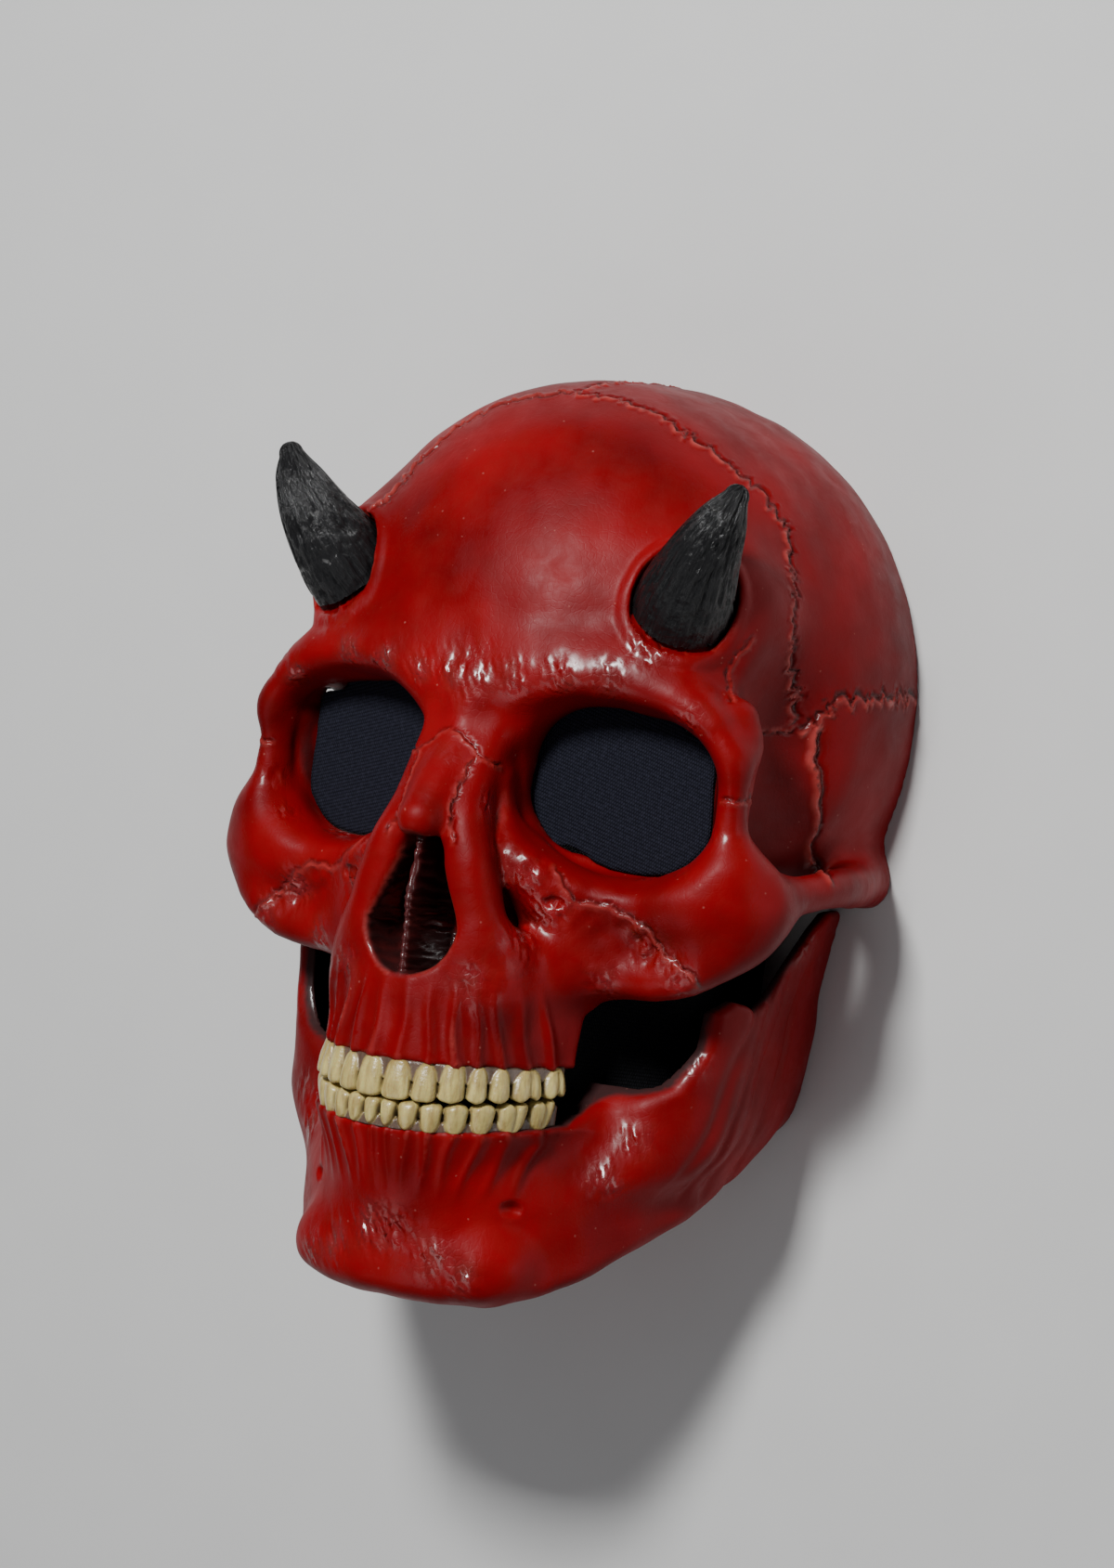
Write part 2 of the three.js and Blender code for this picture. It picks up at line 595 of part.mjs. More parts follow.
function errorAt(q, [x, y, z]) {
  const first = x * (q[0] * x + 2 * (q[1] * y + q[2] * z + q[3]));
  return first + y * (q[4] * y + 2 * (q[5] * z + q[6])) + z * (q[7] * z + 2 * q[8]) + q[9];
}

// Saves faces: again and again the edge goes whose loss moves the surface least.
// Points on the middle plane stay on it, so that the surface can be mirrored.
function reduceFaces({ points, faces }, wanted, weightAt) {
  const around = points.map(() => new Set());
  const errors = points.map(() => new Array(10).fill(0));
  const stamps = new Array(points.length).fill(0);
  const addError = (vertex, error) => error.forEach((v, i) => { errors[vertex][i] += v; });
  faces.forEach((face, id) => {
    const [a, b, c] = face.map((vertex) => points[vertex]);
    const normal = cross(minus(b, a), minus(c, a));
    const size = Math.hypot(...normal);
    if (size > 0) {
      const unit = normal.map((v) => v / size);
      const error = planeError(unit, -dot(unit, a), (size / 2) * weightAt(...a));
      face.forEach((vertex) => addError(vertex, error));
    }
    face.forEach((vertex) => around[vertex].add(id));
  });
  const middle = points.map((p) => p[0] === 0);
  middle.forEach((onPlane, vertex) => {
    if (onPlane) addError(vertex, planeError([1, 0, 0], 0, 1000));
  });
  const neighbours = (vertex) => {
    const found = new Set([...around[vertex]].flatMap((id) => faces[id]));
    found.delete(vertex);
    return found;
  };
  const queue = new CheapestFirst();
  const offer = (u, v) => {
    const half = points[u].map((value, i) => (value + points[v][i]) / 2);
    const sum = errors[u].map((value, i) => value + errors[v][i]);
    const pull = EVENNESS * dot(minus(points[u], points[v]), minus(points[u], points[v]));
    const m = new THREE.Matrix3(
      sum[0] + pull, sum[1], sum[2],
      sum[1], sum[4] + pull, sum[5],
      sum[2], sum[5], sum[7] + pull,
    ).invert();
    const goal = new THREE.Vector3(
      pull * half[0] - sum[3],
      pull * half[1] - sum[6],
      pull * half[2] - sum[8],
    ).applyMatrix3(m).toArray();
    if (middle[u] || middle[v]) goal[0] = 0;
    else goal[0] = Math.max(goal[0], 0.02);
    const cost = errorAt(sum, goal) + pull;
    queue.push({ cost, u, v, stampU: stamps[u], stampV: stamps[v], goal, sum, tries: 0 });
  };
  points.forEach((_, u) => neighbours(u).forEach((v) => { if (u < v) offer(u, v); }));
  const keepsShape = (u, v, goal) => {
    const [ringU, ringV] = [neighbours(u), neighbours(v)];
    const shared = [...around[u]].filter((id) => around[v].has(id));
    const common = [...ringU].filter((vertex) => ringV.has(vertex));
    if (common.length !== shared.length) return false;
    if (middle[u] && middle[v] && shared.length !== 1) return false;
    if (middle[u] !== middle[v]) {
      const moving = middle[u] ? ringV : ringU;
      const fixed = middle[u] ? u : v;
      const chord = [...moving].some((w) => w !== fixed && middle[w] && !common.includes(w));
      if (chord) return false;
    }
    const touched = new Set([...around[u], ...around[v]]);
    if (touched.size - shared.length < 3) return false;
    return [...touched].every((id) => {
      if (shared.includes(id)) return true;
      const before = faces[id].map((vertex) => points[vertex]);
      const after = faces[id].map((vertex) => (vertex === u || vertex === v ? goal : points[vertex]));
      const old = cross(minus(before[1], before[0]), minus(before[2], before[0]));
      const next = cross(minus(after[1], after[0]), minus(after[2], after[0]));
      const [oldSize, nextSize] = [Math.hypot(...old), Math.hypot(...next)];
      const longest = Math.max(...[0, 1, 2].map((i) => Math.hypot(...minus(after[i], after[(i + 1) % 3]))));
      return dot(old, next) > 0.25 * oldSize * nextSize && nextSize > 0.06 * longest * longest;
    });
  };
  let left = faces.length;
  while (left > wanted && queue.entries.length) {
    const entry = queue.pop();
    const { u, v, goal, sum } = entry;
    if (stamps[u] !== entry.stampU || stamps[v] !== entry.stampV) continue;
    if (!keepsShape(u, v, goal)) {
      const again = { ...entry, cost: 4 * entry.cost + EVENNESS, tries: entry.tries + 1 };
      if (entry.tries < MAX_TRIES) queue.push(again);
      continue;
    }
    [...around[v]].forEach((id) => {
      around[v].delete(id);
      if (faces[id].includes(u)) {
        faces[id].forEach((vertex) => around[vertex].delete(id));
        faces[id] = null;
        left -= 1;
      } else {
        faces[id] = faces[id].map((vertex) => (vertex === v ? u : vertex));
        around[u].add(id);
      }
    });
    points[u] = goal;
    errors[u] = sum;
    middle[u] = middle[u] || middle[v];
    stamps[u] += 1;
    stamps[v] = -1;
    neighbours(u).forEach((w) => offer(u, w));
  }
  return { points, faces: faces.filter((face) => face) };
}

function mirrored({ points, faces }) {
  const all = [...points];
  const twin = points.map((p, i) => (p[0] === 0 ? i : all.push([-p[0], p[1], p[2]]) - 1));
  return { points: all, faces: [...faces, ...faces.map(([a, b, c]) => [twin[a], twin[c], twin[b]])] };
}

function geometryOf({ points, faces }) {
  const geometry = new THREE.BufferGeometry();
  geometry.setAttribute('position', new THREE.Float32BufferAttribute(points.flat(), 3));
  geometry.setIndex(faces.flat());
  return geometry;
}

function toManifold(geometry) {
  const bare = geometry.clone();
  bare.deleteAttribute('normal');
  bare.deleteAttribute('uv');
  const welded = mergeVertices(bare);
  return new wasm.Manifold(new wasm.Mesh({
    numProp: 3,
    vertProperties: new Float32Array(welded.attributes.position.array),
    triVerts: new Uint32Array(welded.index.array),
  }));
}

function fromManifold(solid) {
  const { vertProperties, triVerts } = solid.getMesh();
  const geometry = new THREE.BufferGeometry();
  geometry.setAttribute('position', new THREE.BufferAttribute(vertProperties, 3));
  geometry.setIndex(new THREE.BufferAttribute(triVerts, 1));
  return geometry;
}

// Both halves of a field's surface, with few faces
function castOf(field, { step, faces, low, high }, weightAt = () => 1) {
  const skin = skinOf(sampleField(field, low, high, step));
  return geometryOf(mirrored(reduceFaces(skin, faces, weightAt)));
}

// Shell with its open back cut flat on the rim plane
function rimmedShell(field, mesh, filled) {
  const closed = (x, y, z) => Math.max(field(x, y, z), mesh.low[2] + 0.8 - z);
  const weightAt = (x, y, z) => (filled(x, y, z) < -0.6 * WALL ? HIDDEN_WEIGHT : 1);
  const block = new THREE.BoxGeometry(400, 400, 40);
  block.translate(0, 0, -RIM_DEPTH - 20);
  return fromManifold(toManifold(castOf(closed, mesh, weightAt)).subtract(toManifold(block)));
}

// Horn: rings of a grooved section along its curved path, flat at the sunk end
function hornGeometry(side) {
  const path = smoothPath(HORN, HORN_STEPS);
  const seated = path.findIndex((p) => aboveSeat(...p) > -HORN_SUNK);
  const [under, over] = [path[seated - 1], path[seated]];
  const t = (-HORN_SUNK - aboveSeat(...under)) / (aboveSeat(...over) - aboveSeat(...under));
  const first = under.map((v, i) => v + t * (over[i] - v));
  const stations = [first, ...path.slice(seated + (t > 0.7 ? 1 : 0))];
  const points = [];
  const faces = [];
  stations.forEach(([x, y, z, radius], n) => {
    const from = new THREE.Vector3(...(n ? stations[n - 1] : stations[0]));
    const to = new THREE.Vector3(...stations[Math.min(n + 1, stations.length - 1)]);
    const along = n ? to.sub(from).normalize() : hornAxis;
    const across = new THREE.Vector3(0, 0, 1).cross(along).normalize();
    const upright = along.clone().cross(across);
    for (let i = 0; i < HORN_SIDES; i += 1) {
      const angle = (2 * Math.PI * i) / HORN_SIDES;
      const reach = radius - (i % 2) * Math.min(HORN_GROOVE, radius / 6);
      const spot = new THREE.Vector3(x, y, z);
      spot.addScaledVector(across, reach * Math.cos(angle));
      spot.addScaledVector(upright, reach * Math.sin(angle));
      points.push(spot.toArray());
    }
  });
  const last = stations.length - 1;
  const base = points.push(stations[0].slice(0, 3)) - 1;
  const tip = points.push([0, 1, 2].map((i) => stations[last][i] + 0.8 * stations[last][3]
    * [0.5, 0.86, 0.05][i])) - 1;
  for (let i = 0; i < HORN_SIDES; i += 1) {
    const next = (i + 1) % HORN_SIDES;
    faces.push([base, next, i], [tip, last * HORN_SIDES + i, last * HORN_SIDES + next]);
    for (let n = 0; n < last; n += 1) {
      const [low, high] = [n * HORN_SIDES, (n + 1) * HORN_SIDES];
      faces.push([low + i, low + next, high + next], [low + i, high + next, high + i]);
    }
  }
  return sided({ points, faces }, side);
}

function sided({ points, faces }, side) {
  if (side > 0) return geometryOf({ points, faces });
  return geometryOf({
    points: points.map(([x, y, z]) => [-x, y, z]),
    faces: faces.map(([a, b, c]) => [a, c, b]),
  });
}

// Eye cloth: a flat patch behind the socket, kept inside the hollow of the shell
function eyeClothGeometry(side) {
  const m = axesOf(SOCKET.turn);
  const front = -SOCKET_DEPTH - PATCH.behind;
  const spot = (u, v, depth) => [0, 1, 2].map((i) => (
    SOCKET.at[i] + m[i] * u + m[4 + i] * v + m[8 + i] * depth));
  const points = [];
  const faces = [];
  for (let i = 0; i < PATCH.sides; i += 1) {
    const angle = (2 * Math.PI * i) / PATCH.sides;
    const [cos, sin] = [Math.cos(angle), Math.sin(angle)];
    let reach = 0;
    const free = (r) => (
      socketDistance([r * cos, r * sin, front]) < PATCH.over
      && skullShell(...spot(r * cos, r * sin, front)) > PATCH.wallClear
      && skullShell(...spot(r * cos, r * sin, front - CLOTH)) > PATCH.wallClear);
    while (free(reach)) reach += 0.25;
    points.push(spot(reach * cos, reach * sin, front), spot(reach * cos, reach * sin, front - CLOTH));
  }
  const [top, foot] = [points.push(spot(0, 0, front)) - 1, points.push(spot(0, 0, front - CLOTH)) - 1];
  for (let i = 0; i < PATCH.sides; i += 1) {
    const [a, b] = [2 * i, 2 * ((i + 1) % PATCH.sides)];
    faces.push([top, a, b], [foot, b + 1, a + 1], [a, a + 1, b + 1], [a, b + 1, b]);
  }
  return sided({ points, faces }, side);
}

// Jaw cloth: a band round the inside of the jaws, from one side of the rim to the other
function jawClothGeometry() {
  const left = smoothPath(BAND, BAND_STEPS);
  const right = left.slice(1).reverse().map(([x, ...rest]) => [-x, ...rest]);
  const route = [...right, ...left];
  const points = [];
  const faces = [];
  route.forEach(([x, z, top, bottom], n) => {
    const from = route[Math.max(n - 1, 0)];
    const to = route[Math.min(n + 1, route.length - 1)];
    const along = new THREE.Vector2(to[0] - from[0], to[1] - from[1]).normalize();
    const [outX, outZ] = [-along.y * 0.5 * CLOTH, along.x * 0.5 * CLOTH];
    points.push([x + outX, top, z + outZ], [x + outX, bottom, z + outZ]);
    points.push([x - outX, bottom, z - outZ], [x - outX, top, z - outZ]);
  });
  for (let n = 0; n < route.length - 1; n += 1) {
    for (let i = 0; i < 4; i += 1) {
      const [a, b] = [4 * n + i, 4 * n + ((i + 1) % 4)];
      faces.push([a, b, b + 4], [a, b + 4, a + 4]);
    }
  }
  const end = 4 * (route.length - 1);
  faces.push([0, 2, 1], [0, 3, 2], [end, end + 1, end + 2], [end, end + 2, end + 3]);
  return geometryOf({ points, faces });
}

const carvedOf = (x, y, z) => carvedHead(filledHead(x, y, z), socketFrame(x, y, z), x, y, z);

const RED = { color: 0x9c1216, roughness: 0.3, metalness: 0 };
const BLACK = { color: 0x17161a, roughness: 0.35, metalness: 0 };
const CREAM = { color: 0xd8c98c, roughness: 0.45, metalness: 0 };
const NAVY = { color: 0x262a3a, roughness: 0.9, metalness: 0 };
const SOOT = { color: 0x141418, roughness: 0.95, metalness: 0 };

const upperRow = toothRow(UPPER_TEETH, UPPER_BITE, 1);
const lowerRow = toothRow(LOWER_TEETH, LOWER_BITE, -1);

const pieces = {
  skull_shell: [rimmedShell(skullShell, SKULL_MESH, carvedOf), RED],
  jaw_shell: [rimmedShell(jawShell, JAW_MESH, filledJaw), RED],
  upper_teeth: [castOf(upperRow, UPPER_TEETH_MESH), CREAM],
  lower_teeth: [castOf(lowerRow, LOWER_TEETH_MESH), CREAM],
  horn_left: [hornGeometry(1), BLACK],
  horn_right: [hornGeometry(-1), BLACK],
  eye_cloth_left: [eyeClothGeometry(1), NAVY],
  eye_cloth_right: [eyeClothGeometry(-1), NAVY],
  jaw_cloth: [jawClothGeometry(), SOOT],
};

// From face coordinates to the part: centred on the rim plane
const mask = new THREE.Group();
for (const [name, [geometry, look]] of Object.entries(pieces)) {
  geometry.translate(0, (CHIN - CROWN) / 2, RIM_DEPTH);
  geometry.computeVertexNormals();
  const mesh = new THREE.Mesh(geometry, new THREE.MeshStandardMaterial(look));
  mesh.name = name;
  mask.add(mesh);
}

export default mask;
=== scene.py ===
"""Horned skull mask: red cast shell with a loose lower jaw, black horns, cream teeth and stretch cloth."""

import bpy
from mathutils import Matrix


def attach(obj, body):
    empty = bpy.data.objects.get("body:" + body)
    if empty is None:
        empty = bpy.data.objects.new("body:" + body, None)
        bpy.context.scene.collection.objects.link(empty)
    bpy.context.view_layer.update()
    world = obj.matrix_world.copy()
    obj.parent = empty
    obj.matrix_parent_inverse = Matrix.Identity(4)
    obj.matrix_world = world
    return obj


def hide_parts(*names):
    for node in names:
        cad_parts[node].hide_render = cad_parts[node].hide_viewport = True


bl_info = {
    "name": "Horned Skull Mask",
    "version": (1, 0, 0),
    "blender": (4, 5, 0),
    "location": "View3D > Sidebar > Skull Mask",
    "description": "Builds a painted skull mask with horns, tooth rows and cloth behind its openings",
    "category": "Add Mesh",
}

import math

import bmesh
import bpy
import numpy as np
from mathutils import Matrix, Vector

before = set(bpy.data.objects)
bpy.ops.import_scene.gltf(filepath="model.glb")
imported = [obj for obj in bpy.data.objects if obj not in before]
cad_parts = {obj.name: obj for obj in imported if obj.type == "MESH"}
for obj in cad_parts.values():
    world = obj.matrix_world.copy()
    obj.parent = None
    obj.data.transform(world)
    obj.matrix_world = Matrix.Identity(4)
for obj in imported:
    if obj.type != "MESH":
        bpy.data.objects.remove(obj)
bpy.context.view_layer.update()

SKULL_STEP, JAW_STEP, TOOTH_STEP = 0.85, 0.95, 0.42  # grid of the meshes, in millimetres
SKULL_FACES, JAW_FACES = 188000, 100000
HORN_SIDES, HORN_RINGS = 120, 90
BATCH = 120000  # points worked out at a time

MM = 0.001
FAR = 30.0  # stands for "too far to matter" in the fields, in millimetres

# Sizes of the mask, in millimetres, as in the solids. Face coordinates start at the root of the nose:
# x to the wearer's left, y up, z forwards. The part's origin is on the plane of the back rim.
CROWN, CHIN, RIM_DEPTH = 97.7, 148.6, 106.0
TO_PART = np.array([0.0, (CHIN - CROWN) / 2, RIM_DEPTH])
WALL = 3.2
BITE_WALL = 2.0
BRANCH_WALL = 1.2
HORN_PLAY = 0.6

# Forms of the head: kind, blend and shape. A limb is a path of x, y, z and radius
BRAINCASE = dict(at=(0, 13, -92), radii=(80, 84.5, 84))
TEMPLE = dict(at=(92, -6, -45), radii=(32, 44, 24))
HEAD_FORMS = [
    ("round", 15, dict(at=(0, 29, -54), radii=(61, 61.5, 47))),
    ("round", 16, dict(at=(49, 33, -36), radii=(16, 17, 16))),
    ("dent", 9, TEMPLE),
    ("round", 10, dict(at=(0, -26, -78), radii=(61, 46, 54))),
    ("limb", 10, [(0, 9, -15, 8.5), (17, 12, -13.5, 9), (38, 14, -17, 8.5), (57, 8, -20.5, 7.5),
                  (66, -3, -23.5, 6)]),
    ("limb", 5, [(66, -2, -24, 5.5), (67, -14, -25.5, 5), (67.5, -28, -28, 6.5)]),
    ("limb", 4, [(65, 8, -28.5, 5.6), (66, 2, -29.5, 6), (63, -6, -34, 5.8), (62, -16, -36, 5.6),
                 (63, -27, -38, 5.8), (66, -35, -42, 6.5)]),
    ("limb", 5, [(68.5, -30, -28, 7), (58, -39.5, -26, 7.5), (44, -42, -23.5, 7), (30, -39, -18, 6.5),
                 (20, -29, -13, 7), (14, -15, -10.5, 6.5)]),
    ("round", 8, dict(at=(66, -39, -31), radii=(17.5, 15, 12), turn=(24, 0, 0))),
    ("limb", 7, [(30, -61, -26, 6), (42, -60, -26, 5.5), (58, -58, -27, 5.5), (67.5, -52, -30, 5.5),
                 (74, -41, -41, 5)]),
    ("round", 6, dict(at=(44, -48, -34), radii=(26, 15, 12), turn=(15, 0, 0))),
    ("limb", 7, [(73, -36, -38, 6.5), (77.5, -33.5, -50, 5), (79.5, -31, -64, 4.8), (78, -29.5, -80, 5.5),
                 (73, -28, -94, 7), (69, -27, -106, 9)]),
    ("limb", 6, [(0, 6, -11, 9), (0, -6, -7.5, 8), (0, -18, 1.5, 7), (0, -27, 10, 5.5)]),
    ("limb", 5, [(8, -4, -10, 5.5), (9, -18, -2, 6), (10.5, -32, 2, 6.5), (14, -47, 0.5, 7),
                 (17.5, -60, -3.5, 8), (18, -68, -6, 9)]),
    ("limb", 8, [(18, -34, -14, 8), (26, -46, -20, 9), (32, -56, -24, 9)]),
    ("upper jaw", 7, None),
]
# The broad forms that the hollow follows, so that brow, rims and bridge stay solid
CORE_FORMS = [
    HEAD_FORMS[0],
    HEAD_FORMS[2],
    HEAD_FORMS[3],
    HEAD_FORMS[8],
    HEAD_FORMS[10],
    ("limb", 8, [(70, -33, -44, 6.5), (73, -29, -58, 5), (71, -25, -74, 5.5), (65, -22, -92, 8),
                 (62, -21, -106, 9)]),
    HEAD_FORMS[15],
]
ARCH_CENTRE = -33.4
SOCKET_AT, SOCKET_TURN = (39.2, -13, -18), (11, 4, -7)
SOCKET_WIDE, SOCKET_HIGH, SOCKET_POWER, SOCKET_TAPER = 26, 20.4, 2.6, 0.007
SOCKET_DEPTH, SOCKET_ROUND, SOCKET_SIDE = 8.5, 6, 2.2
NOSE_TOP, NOSE_DROP, NOSE_RADIUS, NOSE_FLARE = -37.5, 16, 6, 6.6
NOSE_FLOOR, NOSE_FLOOR_SLOPE, NOSE_ROUND = -13, 0.25, 6
PARTITION = dict(half=1.1, middle=-48, reach=20, front=11, lean=0.11, back=-18)
HORN = [(44, 27, -28, 12.8), (50.5, 37, -19.5, 12.4), (57, 47, -13, 9.6), (62.5, 56.5, -10, 6.4),
        (65.5, 62.5, -9.5, 3.2)]
HORN_SEAT, HORN_SUNK = 16.5, 7.8
LIP_OUT, LIP_HALF, LIP_HIGH = 1.8, 1.2, 0.7
SKULL_OUTLINE = [(-130, -34.2), (-85, -35.4), (-62, -40.5), (-45, -47.5), (-36, -59), (-31, -69),
                 (-27.5, -71), (-26.5, -84.7), (40, -90.6), (40, 130), (-130, 130)]
JAW_OUTLINE = [(40, -109.1), (-25, -99.2), (-28.6, -97), (-35.2, -92.5), (-41, -86), (-45, -76), (-45, -66),
               (-49, -62.5), (-54, -63), (-58, -64.5), (-67, -61), (-80, -50.5), (-91, -41.8), (-98, -37.2),
               (-106, -36.4), (-130, -37), (-130, -180), (40, -180)]
JAW_UNDERSIDE = [(-112, -96), (-100, -99.5), (-85, -108), (-62, -120.5), (-45, -131), (-30, -141),
                 (-16, -148), (5, -150)]
UPPER_TEETH = [(8.3, 9.8), (7.1, 9.1), (7.4, 10.4), (5.9, 8.8), (6.4, 8.2), (10, 7.4), (8.4, 6.9)]
LOWER_TEETH = [(5, 6.4), (6, 6.8), (6.3, 7.6), (6.9, 7.6), (7.3, 7.6), (9.6, 7.5), (8.9, 7.3)]
UPPER_BITE = dict(wide=36, deep=45, gum=-88.1, gum_slope=-0.09, edge=-97.4)
LOWER_BITE = dict(wide=35.4, deep=44.2, gum=-104.8, gum_slope=-0.152, edge=-98.3)
EDGE_SLOPE, BITE_FRONT, BITE_END, TOOTH_DEPTH = -0.17, 11.6, -23, 2.6
BAND = [(0, -3, -76, -114), (12, -6, -76, -114), (20.5, -15, -74, -113), (24.5, -28, -68, -112),
        (27, -41, -60, -109), (36, -50, -54, -104), (44, -59, -51, -100), (48, -70, -50, -96),
        (49, -82, -49, -92), (47.5, -100, -47, -85)]

CLOTH_THICK = 0.6

# Carved seams of the skull: kind, path, and whether the other side has its mirror image
SEAMS = [
    ("zigzag", False, [(0, 88.5, -38.5), (10, 88, -39), (20, 86, -40.5), (32, 81, -42), (42, 75.4, -45),
                       (51, 68.5, -49.5), (58, 61.5, -53.5), (62.7, 52.5, -51.5), (66.5, 43.5, -48),
                       (68.5, 34.5, -45.5), (67.8, 26.5, -49.5), (67.3, 18, -55.5), (66.9, 9.8, -59.4)]),
    ("zigzag", False, [(0, 88.5, -38.5), (-14, 84.5, -35), (-27, 77.5, -32), (-36, 68, -30), (-46, 57, -33),
                       (-56, 45, -38), (-64, 33, -43), (-67.5, 22, -52), (-66.9, 9.8, -59.4)]),
    ("zigzag", False, [(0, 88.5, -38.5), (0.8, 92.5, -52), (-0.5, 95.5, -68), (0.5, 97.3, -84),
                       (0, 97.7, -104)]),
    ("zigzag", True, [(66.9, 9.8, -59.4), (70, 11, -62.7), (73.3, 17, -65), (76, 18.5, -70), (78.1, 20, -76),
                      (79.5, 22, -87), (79, 22.8, -104)]),
    ("crack", True, [(66.9, 9.8, -59.4), (66.2, 8, -56), (63.2, 6.5, -52), (61, 5, -45), (60, 4, -40)]),
    ("edge", True, [(70.2, 10.3, -63), (70.7, 5, -64.8), (70.4, 1.3, -65.1), (71.5, -3.5, -67),
                    (71.8, -9.7, -68.5), (71.8, -14, -69.8), (70.5, -20, -68.7), (74, -23.5, -66),
                    (79, -26, -61), (84, -30, -58)]),
    ("crack", True, [(64.4, 12, -24), (62.1, 18, -26), (62.1, 21.5, -26.6), (64.3, 27.3, -27.8),
                     (65.9, 30.7, -30.4)]),
    ("crack", True, [(0, -3, 0), (4, -5.3, -0.2), (8.3, -9.3, -0.2), (11.2, -10.3, -1.1),
                     (13.6, -10.5, -4.6)]),
    ("crack", True, [(8.6, -9.8, 0.2), (7, -15.6, 3.3), (7.2, -21.6, 5.7), (7.7, -28.2, 6.6),
                     (8.4, -33, 5.5)]),
    ("lumps", True, [(28.1, -33.4, -11.4), (29.3, -36.2, -9.5), (32.2, -39.5, -10.6), (34.4, -42, -12.1),
                     (38.1, -43, -14.5), (45.1, -43.8, -17.7), (51.1, -46.2, -19.6), (55.5, -51.4, -21.9),
                     (60.6, -54.8, -23.8), (64.1, -58.5, -25.9), (64.7, -60.2, -27.7)]),
    ("crack", True, [(66, -12.3, -22.5), (69.2, -12.1, -25.2), (71.9, -10.9, -26.6), (73, -10.5, -31)]),
]
# Leathery patches of the skull and jaw: middle, reach
SKULL_PATCHES = [((2, 11, -2.5), 11), ((14, 11, -3), 8), ((26, 13, -4), 8), ((38, 14, -7.5), 8),
                 ((46, 24, -14), 10), ((47, 31, -20), 8), ((58, 7, -17), 7), ((14, -22, -0.6), 6),
                 ((17.5, -31, -2), 6), ((23, -38, -6), 8), ((28, -46, -10), 9), ((24, -55, -4), 9),
                 ((18, -66, 4), 9), ((47, -34, -28), 5), ((60, -32, -23), 6), ((67, -22, -25), 6),
                 ((52, -50, -21), 8), ((61, -56, -24), 8), ((42, -61, -20), 7), ((0, -12, 1), 6)]
JAW_PATCHES = [((3, -131, 0.6), 10), ((14, -136, -2), 9), ((22, -139, -6), 8), ((44, -111, -31), 8),
               ((49, -101, -36), 8), ((57, -78, -44), 8), ((64, -46, -85), 8)]
INFRAORBITAL = (29.6, -43.2, -12.4)
MENTAL = (28.6, -121.5, -13.5)


# ---------------------------------------------------------------- fields

def smooth_min(a, b, k):
    h = np.clip(0.5 + 0.5 * (b - a) / k, 0, 1)
    return b + (a - b) * h - k * h * (1 - h)


def smooth_max(a, b, k):
    return -smooth_min(-a, -b, k)


def turned_axes(yaw, pitch, roll):
    a, b, c = np.radians([yaw, pitch, roll])
    ry = np.array([[np.cos(a), 0, np.sin(a)], [0, 1, 0], [-np.sin(a), 0, np.cos(a)]])
    rx = np.array([[1, 0, 0], [0, np.cos(b), -np.sin(b)], [0, np.sin(b), np.cos(b)]])
    rz = np.array([[np.cos(c), -np.sin(c), 0], [np.sin(c), np.cos(c), 0], [0, 0, 1]])
    return ry @ rx @ rz


def ellipsoid(p, at, radii, turn=None):
    q = p - np.array(at, p.dtype)
    if turn:
        q = q @ turned_axes(*turn).astype(p.dtype)
    q = q / np.array(radii, p.dtype)
    reach = np.sqrt((q * q).sum(1))
    slope = np.sqrt(((q / np.array(radii, p.dtype)) ** 2).sum(1)) + 1e-9
    return reach * (reach - 1) / slope


def smooth_path(points, steps):
    """Points of any number of values on a smooth path, a few steps to each span."""
    knots = np.array(points, float)
    knots = np.vstack([2 * knots[0] - knots[1], knots, 2 * knots[-1] - knots[-2]])
    path = []
    for a, b, c, d in zip(knots, knots[1:], knots[2:], knots[3:]):
        for t in np.arange(steps) / steps:
            path.append(0.5 * (2 * b + (c - a) * t + (2 * a - 5 * b + 4 * c - d) * t ** 2
                               + (3 * b - a - 3 * c + d) * t ** 3))
    path.append(knots[-2])
    return np.array(path)


class Limb:
    """Round sections that follow a smooth path; only worked out near it."""

    def __init__(self, points, steps=3, margin=22):
        self.path = smooth_path(points, steps)
        reach = self.path[:, 3:].max() + margin
        self.low = self.path[:, :3].min(0) - reach
        self.high = self.path[:, :3].max(0) + reach

    def __call__(self, p):
        near = np.all((p > self.low) & (p < self.high), axis=1)
        q = p[near]
        best = np.full(len(q), FAR, p.dtype)
        for a, b in zip(self.path, self.path[1:]):
            start, along = a[:3].astype(p.dtype), (b[:3] - a[:3]).astype(p.dtype)
            off = q - start
            t = np.clip(off @ along / (along @ along), 0, 1)
            off -= t[:, None] * along
            best = np.minimum(best, np.sqrt((off * off).sum(1)) - (a[3] + t * (b[3] - a[3])))
        d = np.full(len(p), FAR, p.dtype)
        d[near] = best
        return d


def arch_distance(x, z, wide, deep):
    u = x / wide
    w = (z - ARCH_CENTRE) / deep
    reach = np.hypot(u, w)
    return reach * (reach - 1) / (np.hypot(u / wide, w / deep) + 1e-9)


def outline_distance(u, v, outline):
    """Signed distance to a closed outline, negative inside."""
    corners = np.array(outline, float)
    nearest = np.full(len(u), 1e9)
    sign = np.ones(len(u))
    for i, p in enumerate(corners):
        q = corners[i - 1]
        e = q - p
        du, dv = u - p[0], v - p[1]
        t = np.clip((du * e[0] + dv * e[1]) / (e @ e), 0, 1)
        nearest = np.minimum(nearest, (du - e[0] * t) ** 2 + (dv - e[1] * t) ** 2)
        above, below, left = v >= p[1], v < q[1], e[0] * dv > e[1] * du
        sign = np.where((above & below & left) | (~above & ~below & ~left), -sign, sign)
    return sign * np.sqrt(nearest)


